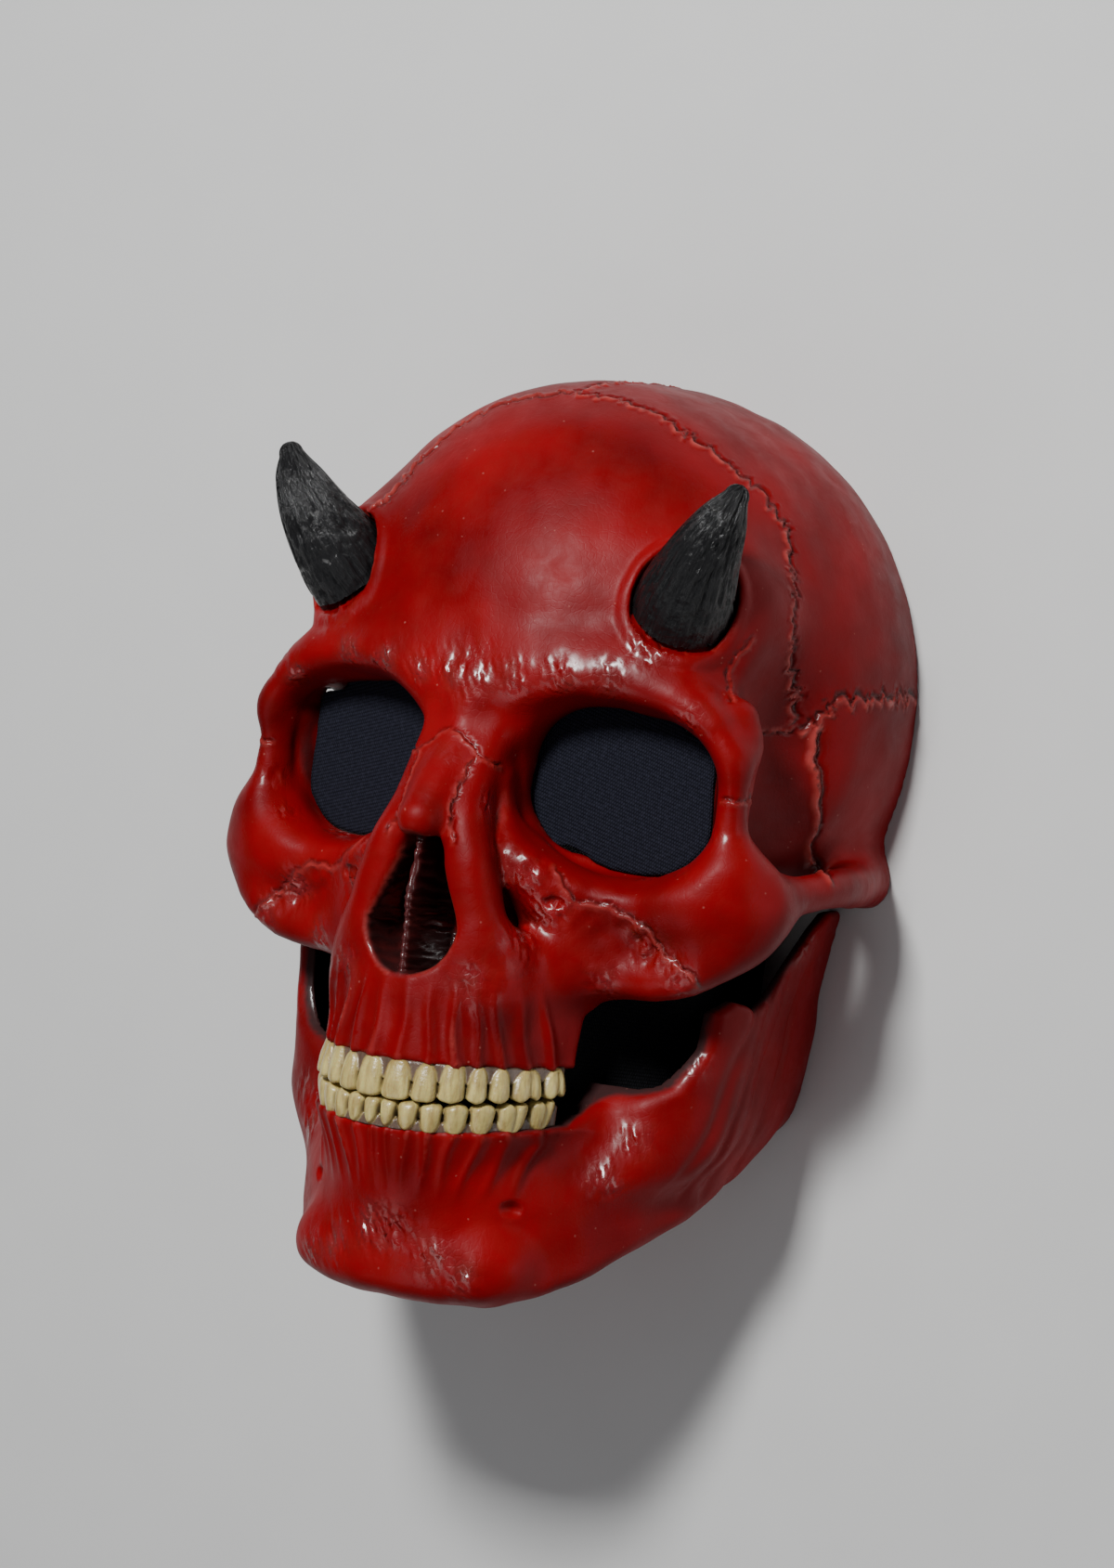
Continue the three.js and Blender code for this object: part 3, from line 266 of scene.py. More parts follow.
def upper_jaw_block(p):
    x, y, z = p.T
    drop = -70 - y
    wall = arch_distance(x, z, 34.8 + 0.03 * drop, 43.5 + 0.05 * drop)
    trimmed = smooth_max(smooth_max(wall, -(y + 100), 2), y + 54, 7)
    return smooth_max(trimmed, -(z + 60), 3)


def field_of(kind, shape):
    if kind == "limb":
        return Limb(shape)
    if kind == "upper jaw":
        return upper_jaw_block
    return lambda p: ellipsoid(p, **shape)


HEAD = [(kind, blend, field_of(kind, shape)) for kind, blend, shape in HEAD_FORMS]
CORE = [(kind, blend, field_of(kind, shape)) for kind, blend, shape in CORE_FORMS]


def join_forms(p, forms):
    d = ellipsoid(p, **BRAINCASE)
    for kind, blend, field in forms:
        form = field(p)
        d = smooth_max(d, -form, blend) if kind == "dent" else smooth_min(d, form, blend)
    return d


SOCKET_AXES = turned_axes(*SOCKET_TURN)


def in_socket_frame(p):
    return (p - np.array(SOCKET_AT, p.dtype)) @ SOCKET_AXES.astype(p.dtype)


def socket_distance(q):
    grow = np.maximum(1 + SOCKET_TAPER * q[:, 2], 0.05)
    across = np.abs(q[:, 0] / (SOCKET_WIDE * grow)) ** SOCKET_POWER
    upright = np.abs(q[:, 1] / (SOCKET_HIGH * grow)) ** SOCKET_POWER
    return ((across + upright) ** (1 / SOCKET_POWER) - 1) * SOCKET_HIGH * grow


def nose_distance(p):
    x, y, z = p.T
    t = np.clip((y - NOSE_TOP) / -NOSE_DROP, 0, 1)
    pear = np.hypot(x, y - NOSE_TOP + NOSE_DROP * t) - NOSE_RADIUS - t * NOSE_FLARE
    return smooth_max(pear, NOSE_FLOOR - z + NOSE_FLOOR_SLOPE * x, NOSE_ROUND)


def partition_distance(p):
    x, y, z = p.T
    off = np.abs(y - PARTITION["middle"])
    plate = smooth_max(x - PARTITION["half"], off - PARTITION["reach"], 2)
    plate = smooth_max(plate, z - PARTITION["front"] + PARTITION["lean"] * off, 2)
    return smooth_max(plate, PARTITION["back"] - z, 1)


HORN_LIMB = Limb(HORN, 4)
HORN_AXIS = np.subtract(HORN[1][:3], HORN[0][:3])
HORN_AXIS = HORN_AXIS / np.linalg.norm(HORN_AXIS)
SEAT = np.array(HORN[0][:3]) + HORN_AXIS * HORN_SEAT


def above_seat(p):
    return (p - SEAT) @ HORN_AXIS


def carved_head(p, filled, socket):
    kept = WALL + SOCKET_SIDE - ellipsoid(p, **TEMPLE)
    d = smooth_max(filled, -smooth_max(socket, kept, 3), SOCKET_ROUND)
    d = smooth_max(d, -nose_distance(p), 2)
    d = smooth_min(d, partition_distance(p), 1.5)
    horn = HORN_LIMB(p)
    lip = smooth_max(np.abs(horn - LIP_OUT) - LIP_HALF, d - LIP_HIGH, 1.4)
    hole = smooth_max(horn - HORN_PLAY, -(above_seat(p) + HORN_SUNK + HORN_PLAY), 0.5)
    return smooth_max(smooth_min(d, lip, 2.2), -hole, 1)


def skull_shell(p):
    """The cast skull for x above 0, with its carved side and its hollow."""
    filled = join_forms(p, HEAD)
    q = in_socket_frame(p)
    socket = socket_distance(q)
    carved = carved_head(p, filled, socket)
    y, z = p[:, 1], p[:, 2]
    wall = WALL + np.where(z > -40, BITE_WALL, 0) * np.clip((-66 - y) / 10, 0, 1)
    near_socket = np.maximum(q[:, 2] + SOCKET_DEPTH, socket - WALL - 2)
    hollow = np.minimum(carved + wall, smooth_max(filled + wall, near_socket, 1))
    hollow = np.maximum(hollow, join_forms(p, CORE) + wall)
    shell = smooth_max(carved, -hollow, 1)
    hem = y - gum_scallop(p, UPPER_TEETH, UPPER_BITE)
    return smooth_max(shell, outline_distance(z, hem, SKULL_OUTLINE), 1.6)


def jaw_arch_wall(p):
    return arch_distance(p[:, 0], p[:, 2], 35.4, 43.5) + 0.42 * np.clip(-104 - p[:, 1], -4, 40)


def filled_jaw(p):
    x, y, z = p.T
    wide = 64 + 3 * np.clip((y + 110) / 40, -0.6, 1) - 0.16 * np.maximum(0, -60 - z)
    side = (np.hypot(x / wide, np.maximum(z + 104, 0) / 100.5) - 1) * 60
    body = smooth_max(side, y + 120 + 0.52 * np.minimum(z, 0), 12)
    wide = 65.5 + (y + 88) * 0.1 - np.maximum(0, -60 - z) * (0.12 + 0.0009 * (-36 - y))
    across, ahead = x - (wide - 22), z + 58
    block = np.hypot(np.maximum(across, 0), np.maximum(ahead, 0))
    block = block + np.minimum(np.maximum(across, ahead), 0) - 22
    d = smooth_min(body, smooth_max(block, -(y + 112) - 0.35 * (z + 40), 10), 10)
    arch = smooth_max(smooth_max(jaw_arch_wall(p), -(y + 128), 6), y + 90, 3)
    d = smooth_min(d, smooth_max(arch, -(z + 40), 8), 9)
    d = smooth_min(d, ellipsoid(p, (0, -138, -17), (26, 13, 15)), 9)
    d = smooth_min(d, ellipsoid(p, (20.5, -137.5, -17), (12, 9.5, 10)), 6)
    under = np.interp(z, *np.array(JAW_UNDERSIDE).T)
    return smooth_max(d, (under - y) * 0.85, 6)


def jaw_shell(p):
    filled = filled_jaw(p)
    y, z = p[:, 1], p[:, 2]
    branch = BRANCH_WALL * np.clip((-30 - z) / 10, 0, 1)
    bite = np.where(z > -30, BITE_WALL, 0) * np.clip((y + 116) / 6, 0, 1)
    behind_teeth = np.maximum(np.maximum(jaw_arch_wall(p) + WALL + BITE_WALL, z + 33), -(y + 114))
    hollow = np.minimum(filled + WALL + branch + bite, behind_teeth)
    shell = smooth_max(filled, -hollow, 1)
    hem = y - gum_scallop(p, LOWER_TEETH, LOWER_BITE)
    return smooth_max(shell, outline_distance(z, hem, JAW_OUTLINE), 2)


# ---------------------------------------------------------------- teeth

def arch_table(bite):
    """Angles round the arch and the distances along it from the middle."""
    angles = np.linspace(0, 2.2, 600)
    speed = np.hypot(bite["wide"] * np.cos(angles), bite["deep"] * np.sin(angles))
    return angles, np.concatenate([[0], np.cumsum((speed[1:] + speed[:-1]) / 2 * np.diff(angles))])


def along_arch(p, bite):
    angles, lengths = arch_table(bite)
    angle = np.arctan2(p[:, 0] / bite["wide"], (p[:, 2] - ARCH_CENTRE) / bite["deep"])
    return np.interp(angle, angles, lengths)


def tooth_middles(teeth):
    widths = np.array([width for width, _ in teeth])
    return np.cumsum(widths) - widths / 2


def gum_scallop(p, teeth, bite):
    """How far the hem of the shell is raised over each tooth, and lowered between them."""
    y, z = p[:, 1], p[:, 2]
    near = np.clip(1 - np.abs(y - bite["gum"]) / 9, 0, 1) * np.clip((z + 26) / 3, 0, 1)
    if not near.any():
        return near
    s = along_arch(p, bite)
    wave = np.zeros(len(p))
    for middle, (width, _) in zip(tooth_middles(teeth), teeth):
        wave += np.exp(-((s - middle) / (0.3 * width)) ** 2)
    side = 1 if teeth is UPPER_TEETH else -1
    return side * near * (0.75 * wave - 0.35)


class ToothRow:
    """One row of crowns on its gum strip; side is 1 for teeth that hang and -1 for teeth that stand."""

    def __init__(self, teeth, bite, side):
        self.bite, self.side = bite, side
        angles, lengths = arch_table(bite)
        self.places = []
        for number, (middle, (width, height)) in enumerate(zip(tooth_middles(teeth), teeth)):
            a = np.interp(middle, lengths, angles)
            normal = np.array([np.sin(a) / bite["wide"], np.cos(a) / bite["deep"]])
            normal /= np.linalg.norm(normal)
            centre = np.array([bite["wide"] * np.sin(a), ARCH_CENTRE + bite["deep"] * np.cos(a)])
            self.places.append((number, width, height, normal, centre - TOOTH_DEPTH * normal))

    def crown(self, p, edge, place):
        number, width, height, normal, centre = place
        dx, dz = p[:, 0] - centre[0], p[:, 2] - centre[1]
        upright = self.side * (p[:, 1] - edge) - height / 2 + 0.3
        t = np.clip(0.5 + upright / height, 0, 1)  # 0 at the biting edge, 1 at the gum
        across = dx * normal[1] - dz * normal[0]
        half = (width / 2 - 0.1) * (1 - 0.31 * t ** 1.5 - 0.06 * (1 - t) ** 3)
        u = np.abs(across) / half
        bulge = 0.45 * np.sin(np.pi * np.clip(t + 0.1, 0, 1)) - 0.75 * (1 - t) ** 2.2 * (number < 3)
        molar = number > 4
        if molar:
            bulge = bulge - 0.8 * np.exp(-((across - 0.06 * width) / 0.7) ** 2) * (1 - 0.7 * t)
        depth = dx * normal[0] + dz * normal[1] + 0.12 * upright
        w = np.abs(depth) / (TOOTH_DEPTH + np.where(depth > 0, bulge, 0))
        round_section = ((u ** 2.7 + w ** 2.3) ** (1 / 2.5) - 1) * half * 0.8
        if number == 2:
            cusp = 0.7 * np.minimum(u, 1.2)
        elif molar:
            cusp = 0.5 + 0.5 * np.cos(2 * np.pi * (across - 0.06 * width) / (0.54 * width))
            cusp = np.maximum(cusp, 1.6 * np.clip(u - 0.6, 0, 1))
        elif number > 2:
            cusp = np.minimum(u, 1.2) ** 1.6
        else:
            cusp = 0.9 * np.clip(u - 0.4, 0, 1) ** 1.5
        neck = upright - height / 2 - 0.7 + 1.6 * np.minimum(u, 1.2) ** 2
        ends = smooth_max(-upright - height / 2 + cusp, neck, 0.4)
        return smooth_max(round_section, ends, 1.2), t

    def levels(self, p):
        back = p[:, 2] - BITE_FRONT
        return self.bite["edge"] + EDGE_SLOPE * back, self.bite["gum"] + self.bite["gum_slope"] * back

    def parts(self, p):
        p = np.abs(p * [1, 0, 0]) + p * [0, 1, 1]
        edge, gum = self.levels(p)
        best, tooth, height = np.full(len(p), FAR), np.zeros(len(p)), np.zeros(len(p))
        for place in self.places:
            d, t = self.crown(p, edge, place)
            nearer = d < best
            best = np.where(nearer, d, best)
            tooth = np.where(nearer, place[0], tooth)
            height = np.where(nearer, t, height)
        x, y, z = p.T
        outer = arch_distance(x, z, self.bite["wide"] - 1.6, self.bite["deep"] - 1.6)
        inner = arch_distance(x, z, self.bite["wide"] - 5.2, self.bite["deep"] - 5.2)
        papilla = 1.5 * np.cos(np.pi * np.clip(best / 1.2, 0, 1))
        strip = smooth_max(smooth_max(outer, -inner, 0.6), self.side * (edge - y) + 3.2 + papilla, 1)
        return best, strip, gum, tooth, height

    def __call__(self, p):
        best, strip, gum, _, _ = self.parts(p)
        joined = smooth_min(best, strip, 0.5)
        joined = smooth_max(joined, self.side * (p[:, 1] - gum) - 0.6, 0.5)
        return smooth_max(joined, BITE_END - p[:, 2], 0.5)


# ---------------------------------------------------------------- relief

def ripple(p, pitch, seed, count=6):
    """Smooth waves without a direction, from about -1 to 1."""
    draw = np.random.default_rng(seed)
    ways = draw.normal(size=(count, 3))
    ways *= (2 * np.pi / pitch * draw.uniform(0.65, 1.4, count) / np.linalg.norm(ways, axis=1))[:, None]
    return np.sin(p @ ways.T + draw.uniform(0, 2 * np.pi, count)).sum(1) / math.sqrt(count)


class Seam:
    """Place of points beside a carved seam: distance along it, and across it on the skin."""

    def __init__(self, kind, points, seed, side=1):
        self.kind, self.seed = kind, seed
        self.path = smooth_path(points, 3)
        for _ in range(14):  # onto the skin, along the direction in which the seam was measured
            self.path -= 0.8 * carved_of(mirror_x(self.path))[:, None] * np.array([0.48 * side, 0, 0.88])
        away = slope_of(lambda q: carved_of(mirror_x(q)), self.path, 0.8)
        self.normals = away / np.linalg.norm(away, axis=1)[:, None]
        self.low, self.high = self.path.min(0) - 7, self.path.max(0) + 7

    def near(self, p):
        return np.all((p > self.low) & (p < self.high), axis=1)

    def place(self, p):
        best = np.full(len(p), 1e9)
        along = np.zeros(len(p))
        across = np.zeros(len(p))
        run = 0.0
        for i in range(len(self.path) - 1):
            a, step = self.path[i], self.path[i + 1] - self.path[i]
            length = np.linalg.norm(step)
            off = p - a
            t = np.clip(off @ step / length ** 2, 0, 1)
            off = off - t[:, None] * step
            way = np.cross(step / length, self.normals[i])
            far = (off * off).sum(1)
            nearer = far < best
            best = np.where(nearer, far, best)
            along = np.where(nearer, run + t * length, along)
            across = np.where(nearer, np.sign(off @ way) * np.sqrt(far), across)
            run += length
        return along, across, run

    def marks(self, p):
        """Height of the relief, darkness of the groove and paleness of its raised side; the paleness is
        dry-brushed paint that also stands in for the highlight on the raised side.
        """
        s, d, run = self.place(p)
        wander = np.sin(s * 0.41 + self.seed) * 0.5 + np.sin(s * 1.13 + 2 * self.seed) * 0.3
        ends = np.clip(s / 1.5, 0, 1) * np.clip((run - s) / 1.5, 0, 1)
        if self.kind == "zigzag":
            pitch = 4.4
            phase = s / pitch + 0.3 * np.sin(s * 0.37 + self.seed) + 0.2 * np.sin(s * 0.9 + 3 * self.seed)
            size = 1.35 + 0.6 * np.sin(s * 0.23 + 1.7 * self.seed)
            zigzag = 4 * np.abs(phase - np.floor(phase) - 0.5) - 1
            d = (d - 0.8 * wander - size * zigzag) * 0.72
            # The pale side swells on the outer peaks of the zigzag: dry-brush that also paints the highlight
            # of the beads
            bead = 0.5 + 0.5 * np.clip(0.5 + zigzag, 0, 1)
            dark = np.exp(-(d / 0.55) ** 2)
            pale = np.exp(-((d - 1.05) / 0.6) ** 2) * bead
            rim = np.exp(-((d + 1.0) / 0.5) ** 2)
            return ends * (0.6 * pale + 0.15 * rim - 0.6 * dark), ends * dark, ends * pale
        if self.kind == "edge":
            d = d - 0.8 * wander
            pale = np.exp(-((d - 0.9) / 1.1) ** 2)
            dark = np.exp(-((d + 0.9) / 0.7) ** 2)
            return ends * (0.8 * pale - 0.5 * dark), ends * dark * 0.9, ends * pale * 0.8
        if self.kind == "lumps":
            d = d - 1.1 * wander
            dark = np.exp(-((d + 0.9) / 0.45) ** 2)
            pale = np.exp(-(d / 0.75) ** 2)
            spread = np.exp(-((d - 2.5) / 4.5) ** 2)
            lumps = 0.2 * ripple(p, 5.8, 31) + 0.05 * ripple(p, 2.8, 32)
            return ends * (0.35 * pale - 0.35 * dark + spread * lumps), ends * dark * 0.7, ends * pale * 0.4
        d = d - 0.9 * wander
        dark = np.exp(-(d / 0.38) ** 2)
        pale = np.exp(-((d - 0.8) / 0.45) ** 2)
        return ends * (0.25 * pale - 0.42 * dark), ends * dark * 0.85, ends * pale * 0.5


def mirror_x(p):
    return np.column_stack([np.abs(p[:, 0]), p[:, 1], p[:, 2]])


def carved_of(p):
    return carved_head(p, join_forms(p, HEAD), socket_distance(in_socket_frame(p)))


TETRAHEDRON = np.array([[1, -1, -1], [-1, -1, 1], [-1, 1, -1], [1, 1, 1]], float)


def slope_of(field, p, step):
    return sum(corner * field(p + step * corner)[:, None] for corner in TETRAHEDRON) / (4 * step)


def all_seams():
    seams = []
    for number, (kind, both, points) in enumerate(SEAMS):
        seams.append(Seam(kind, points, number))
        if both:
            seams.append(Seam(kind, [(-x, y, z) for x, y, z in reversed(points)], number + 40, -1))
    return seams


def seam_marks(p, seams):
    height, dark, pale = np.zeros((3, len(p)))
    for seam in seams:
        near = seam.near(p)
        if near.any():
            h, k, w = seam.marks(p[near])
            height[near] += h
            dark[near] = np.maximum(dark[near], k)
            pale[near] = np.maximum(pale[near], w)
    return height, dark, pale


def patch_mask(p, patches):
    q = mirror_x(p)
    mask = np.zeros(len(p))
    for at, reach in patches:
        mask = np.maximum(mask, np.exp(-((q - at) ** 2).sum(1) / (0.6 * reach) ** 2))
    return mask


def root_ridges(p, teeth, bite, fade_from, fade_to, high):
    """Upright ridges of the roots over or under each tooth."""
    y = p[:, 1]
    away = np.abs(y - bite["gum"])
    s = along_arch(mirror_x(p), bite) * (1 + 0.010 * away)
    fade = np.clip((fade_to - away) / (fade_to - fade_from), 0, 1)
    fade = fade * fade * (3 - 2 * fade) * np.clip((p[:, 2] + 27) / 5, 0, 1)
    ridges = np.zeros(len(p))
    for number, (middle, (width, _)) in enumerate(zip(tooth_middles(teeth), teeth)):
        sway = 0.5 * np.sin(0.28 * y + 2.1 * number + np.sign(p[:, 0]))
        tall = 1.35 if number == 2 else 1.0
        ridges += tall * np.exp(-((s - middle + sway) / (0.23 * width)) ** 2)
    return high * fade * (ridges - 0.5)


def pit(p, at, radii, depth):
    q = mirror_x(p)
    return -depth * np.exp(-(((q - at) / radii) ** 2).sum(1) ** 1.5)


def leather(p, mask):
    """Fine wrinkles of the modelled clay, running down and outwards."""
    stretched = p @ np.array([[1.0, 0.25, 0], [0.35, 0.4, 0], [0, 0, 1.0]])
    fine = 0.17 * ripple(stretched, 1.9, 11) + 0.13 * ripple(stretched, 3.6, 14) + 0.13 * ripple(p, 5.5, 12)
    return mask * fine + 0.12 * ripple(p, 15, 13)


def skull_relief(p, seams):
    q = mirror_x(p)
    height = seam_marks(p, seams)[0]
    height += root_ridges(p, UPPER_TEETH, UPPER_BITE, 10, 25, 1.15)
    height += leather(p, patch_mask(p, SKULL_PATCHES))
    height += pit(p, INFRAORBITAL, (2.6, 1.4, 3), 2.2)
    # Fine ribs in the nose cavity, round its walls
    cavity = np.clip(-nose_distance(q) + 0.6, 0, 1) * np.clip((p[:, 2] + 20) / 4, 0, 1)
    height += 0.16 * cavity * np.sin(2.6 * np.hypot(q[:, 0] - 4, p[:, 1] + 40) + 1.3 * ripple(p, 9, 21))
    return height


def jaw_relief(p):
    height = root_ridges(p, LOWER_TEETH, LOWER_BITE, 5, 18, 0.9)
    height += leather(p, patch_mask(p, JAW_PATCHES))
    height += pit(p, MENTAL, (1.9, 1.6, 3), 1.8)
    # Muscle grooves down the side branches
    y, z = p[:, 1], p[:, 2]
    branch = np.clip((-44 - z) / 6, 0, 1) * np.clip((y + 118) / 12, 0, 1) * np.clip((-48 - y) / 8, 0, 1)
    slant = z + 0.28 * (y + 76)
    for middle, wide in ((-55, 2.3), (-64, 1.8), (-73, 2.4), (-84, 2.0)):
        height -= 0.75 * branch * np.exp(-((slant - middle + 0.7 * np.sin(0.2 * y + middle)) / wide) ** 2)
    return height


# ---------------------------------------------------------------- meshes from fields

CORNERS = np.stack(np.meshgrid([0, 1], [0, 1], [0, 1], indexing="ij"), -1).reshape(-1, 3)


def cells_at_skin(field, low, high, step, levels=3):
    """Grid cells of a field's skin, found from coarse blocks downwards."""
    coarse = 2 ** (levels - 1)
    counts = np.ceil((np.array(high) - low) / (step * coarse)).astype(int)
    cells = np.stack(np.meshgrid(*[np.arange(n) for n in counts], indexing="ij"), -1).reshape(-1, 3)
    low = np.array(low, np.float32)
    size = coarse
    while True:
        middle = (low + (cells + 0.5) * (step * size)).astype(np.float32)
        value = in_parts(field, middle)
        cells = cells[np.abs(value) < step * size * 1.25]
        if size == 1:
            return cells
        cells = (cells[:, None] * 2 + CORNERS[None]).reshape(-1, 3)
        size //= 2


def in_parts(field, points):
    return np.concatenate([field(points[i:i + BATCH]) for i in range(0, len(points), BATCH)])


def slopes_in_parts(field, points, step):
    return in_parts(lambda part: slope_of(field, part, step), points)


def key_of(cells):
    c = cells.astype(np.int64) + 1024
    return (c[:, 0] << 24) + (c[:, 1] << 12) + c[:, 2]


def skin_of(field, low, high, step):
    """Closed quad mesh of a field's skin on both sides of the middle plane. low[0] is 0."""
    cells = cells_at_skin(field, low, high, step)
    nodes = (cells[:, None] + CORNERS[None]).reshape(-1, 3)
    keys, first, back = np.unique(key_of(nodes), return_index=True, return_inverse=True)
    spots = (np.array(low) + nodes[first] * step).astype(np.float32)
    values = in_parts(field, spots)[back.ravel()].reshape(-1, 2, 2, 2)
    mixed = (values < 0).any(axis=(1, 2, 3)) & (values >= 0).any(axis=(1, 2, 3))
    cells, values = cells[mixed], values[mixed]
    twins = cells * [-1, 1, 1] - [1, 0, 0]
    cells = np.concatenate([cells, twins])
    values = np.concatenate([values, values[:, ::-1]])
    total, hits = np.zeros((len(cells), 3)), np.zeros(len(cells))
    flat = values.reshape(-1, 8)
    for a in range(8):
        for b in range(a + 1, 8):
            if np.abs(CORNERS[a] - CORNERS[b]).sum() != 1:
                continue
            cut = (flat[:, a] < 0) != (flat[:, b] < 0)
            t = np.where(cut, flat[:, a] / np.where(cut, flat[:, a] - flat[:, b], 1), 0)
            total += np.where(cut[:, None], CORNERS[a] + t[:, None] * (CORNERS[b] - CORNERS[a]), 0)
            hits += cut
    points = np.array(low) + (cells + total / hits[:, None]) * step
    order = np.argsort(key_of(cells))
    sorted_keys = key_of(cells)[order]

    def find(wanted):
        at = np.clip(np.searchsorted(sorted_keys, key_of(wanted)), 0, len(order) - 1)
        found = sorted_keys[at] == key_of(wanted)
        return np.where(found, order[at], -1)

    quads = []
    for axis in range(3):
        one, two = np.eye(3, dtype=int)[(axis + 1) % 3], np.eye(3, dtype=int)[(axis + 2) % 3]
        far_corner = [0, 0, 0]
        far_corner[axis] = 1
        inside = values[:, 0, 0, 0] < 0
        outside = values[:, far_corner[0], far_corner[1], far_corner[2]] < 0
        crossing = np.where(inside != outside)[0]
        at = cells[crossing]
        ring = np.stack([crossing, find(at - one), find(at - one - two), find(at - two)], 1)
        whole = (ring >= 0).all(1)
        ring, forwards = ring[whole], inside[crossing[whole]]
        quads.append(np.where(forwards[:, None], ring, ring[:, ::-1]))
    return points, np.concatenate(quads)


def settle(field, points, passes, reach):
    """Moves points onto the skin of a field."""
    for _ in range(passes):
        value = in_parts(field, points)
        slope = slopes_in_parts(field, points, 0.25)
        move = -slope * (value / np.maximum((slope * slope).sum(1), 0.2))[:, None]
        length = np.linalg.norm(move, axis=1)
        points = points + move * np.minimum(1, reach / np.maximum(length, 1e-6))[:, None]
    return points


def skin_normals(field, points, step=0.3):
    slope = slopes_in_parts(field, points, step)
    return slope / np.maximum(np.linalg.norm(slope, axis=1), 1e-6)[:, None]


def plain_mesh(name, points, faces):
    mesh = bpy.data.meshes.new(name)
    mesh.from_pydata(points.tolist(), [], faces.tolist())
    mesh.update()
    return mesh


def corners_of(mesh):
    """The point that each corner of the faces uses."""
    corners = np.empty(len(mesh.loops), int)
    mesh.loops.foreach_get("vertex_index", corners)
    return corners


def mesh_arrays(mesh):
    points = np.empty(3 * len(mesh.vertices))
    mesh.vertices.foreach_get("co", points)
    mesh.calc_loop_triangles()
    faces = np.empty(3 * len(mesh.loop_triangles), int)
    mesh.loop_triangles.foreach_get("vertices", faces)
    return points.reshape(-1, 3), faces.reshape(-1, 3)


def fewer_faces(points, faces, wanted, keep):
    """Saves faces where the skin is smooth, and most of all at the points that keep leaves out."""
    mesh = plain_mesh("draft", points, faces)
    work = bpy.data.objects.new("draft", mesh)
    bpy.context.scene.collection.objects.link(work)
    total = (faces.shape[1] - 2) * len(faces)
    decimate = work.modifiers.new("fewer", "DECIMATE")
    decimate.ratio = min(1.0, wanted / total)
    group = work.vertex_groups.new(name="keep")
    for kept, weight in ((False, 1.0), (True, 0.05)):
        group.add(np.where(keep == kept)[0].tolist(), weight, "REPLACE")
    decimate.vertex_group = "keep"
    decimate.vertex_group_factor = 4.0
    made = bpy.data.meshes.new_from_object(work.evaluated_get(bpy.context.evaluated_depsgraph_get()))
    result = mesh_arrays(made)
    bpy.data.objects.remove(work)
    bpy.data.meshes.remove(mesh)
    bpy.data.meshes.remove(made)
    return result


def finer_faces(points, faces, inside_zone):
    """Cuts the edges in a zone in half, for narrow carving."""
    work = bmesh.new()
    mesh = plain_mesh("draft", points, faces)
    work.from_mesh(mesh)
    work.verts.ensure_lookup_table()
    edges = [edge for edge in work.edges if all(inside_zone[vertex.index] for vertex in edge.verts)]
    bmesh.ops.subdivide_edges(work, edges=edges, cuts=1, use_grid_fill=True)
    bmesh.ops.triangulate(work, faces=work.faces)
    work.to_mesh(mesh)
    work.free()
    result = mesh_arrays(mesh)
    bpy.data.meshes.remove(mesh)
    return result


def add_piece(name, points, faces, material, normals=None, attributes=None):
    """Puts a piece in the scene. points are face coordinates in millimetres."""
    mesh = plain_mesh(name, (points + TO_PART) * MM, faces)
    mesh.shade_smooth()
    if normals is not None:
        mesh.normals_split_custom_set_from_vertices(normals.tolist())
    for key, values in (attributes or {}).items():
        layer = mesh.attributes.new(key, "FLOAT_COLOR", "POINT")
        colours = np.ones((len(points), 4), np.float32)
        colours[:, :3] = np.column_stack(values)
        layer.data.foreach_set("color", colours.ravel())
    mesh.materials.append(material)
    piece = bpy.data.objects.new(name, mesh)
    bpy.context.scene.collection.objects.link(piece)
    return piece


def shelter(field, points, normals):
    """How closed in each point is, from 0 in the open to 1 deep in a fold, and how sharp its edge is."""
    steep = np.linalg.norm(slope_of(field, points, 0.5), axis=1)
    steep = np.maximum(steep, 0.3)
    closed = np.zeros(len(points))
    for reach, share in ((1.2, 0.2), (3.5, 0.3), (9.0, 0.3), (18.0, 0.2)):
        closed += share * np.clip(1 - in_parts(field, points + normals * reach) / (steep * reach), 0, 1)
    sharp = np.clip(1 + in_parts(field, points - normals * 1.5) / (steep * 1.5), 0, 1)
    return np.clip(closed, 0, 1), sharp


# ---------------------------------------------------------------- materials

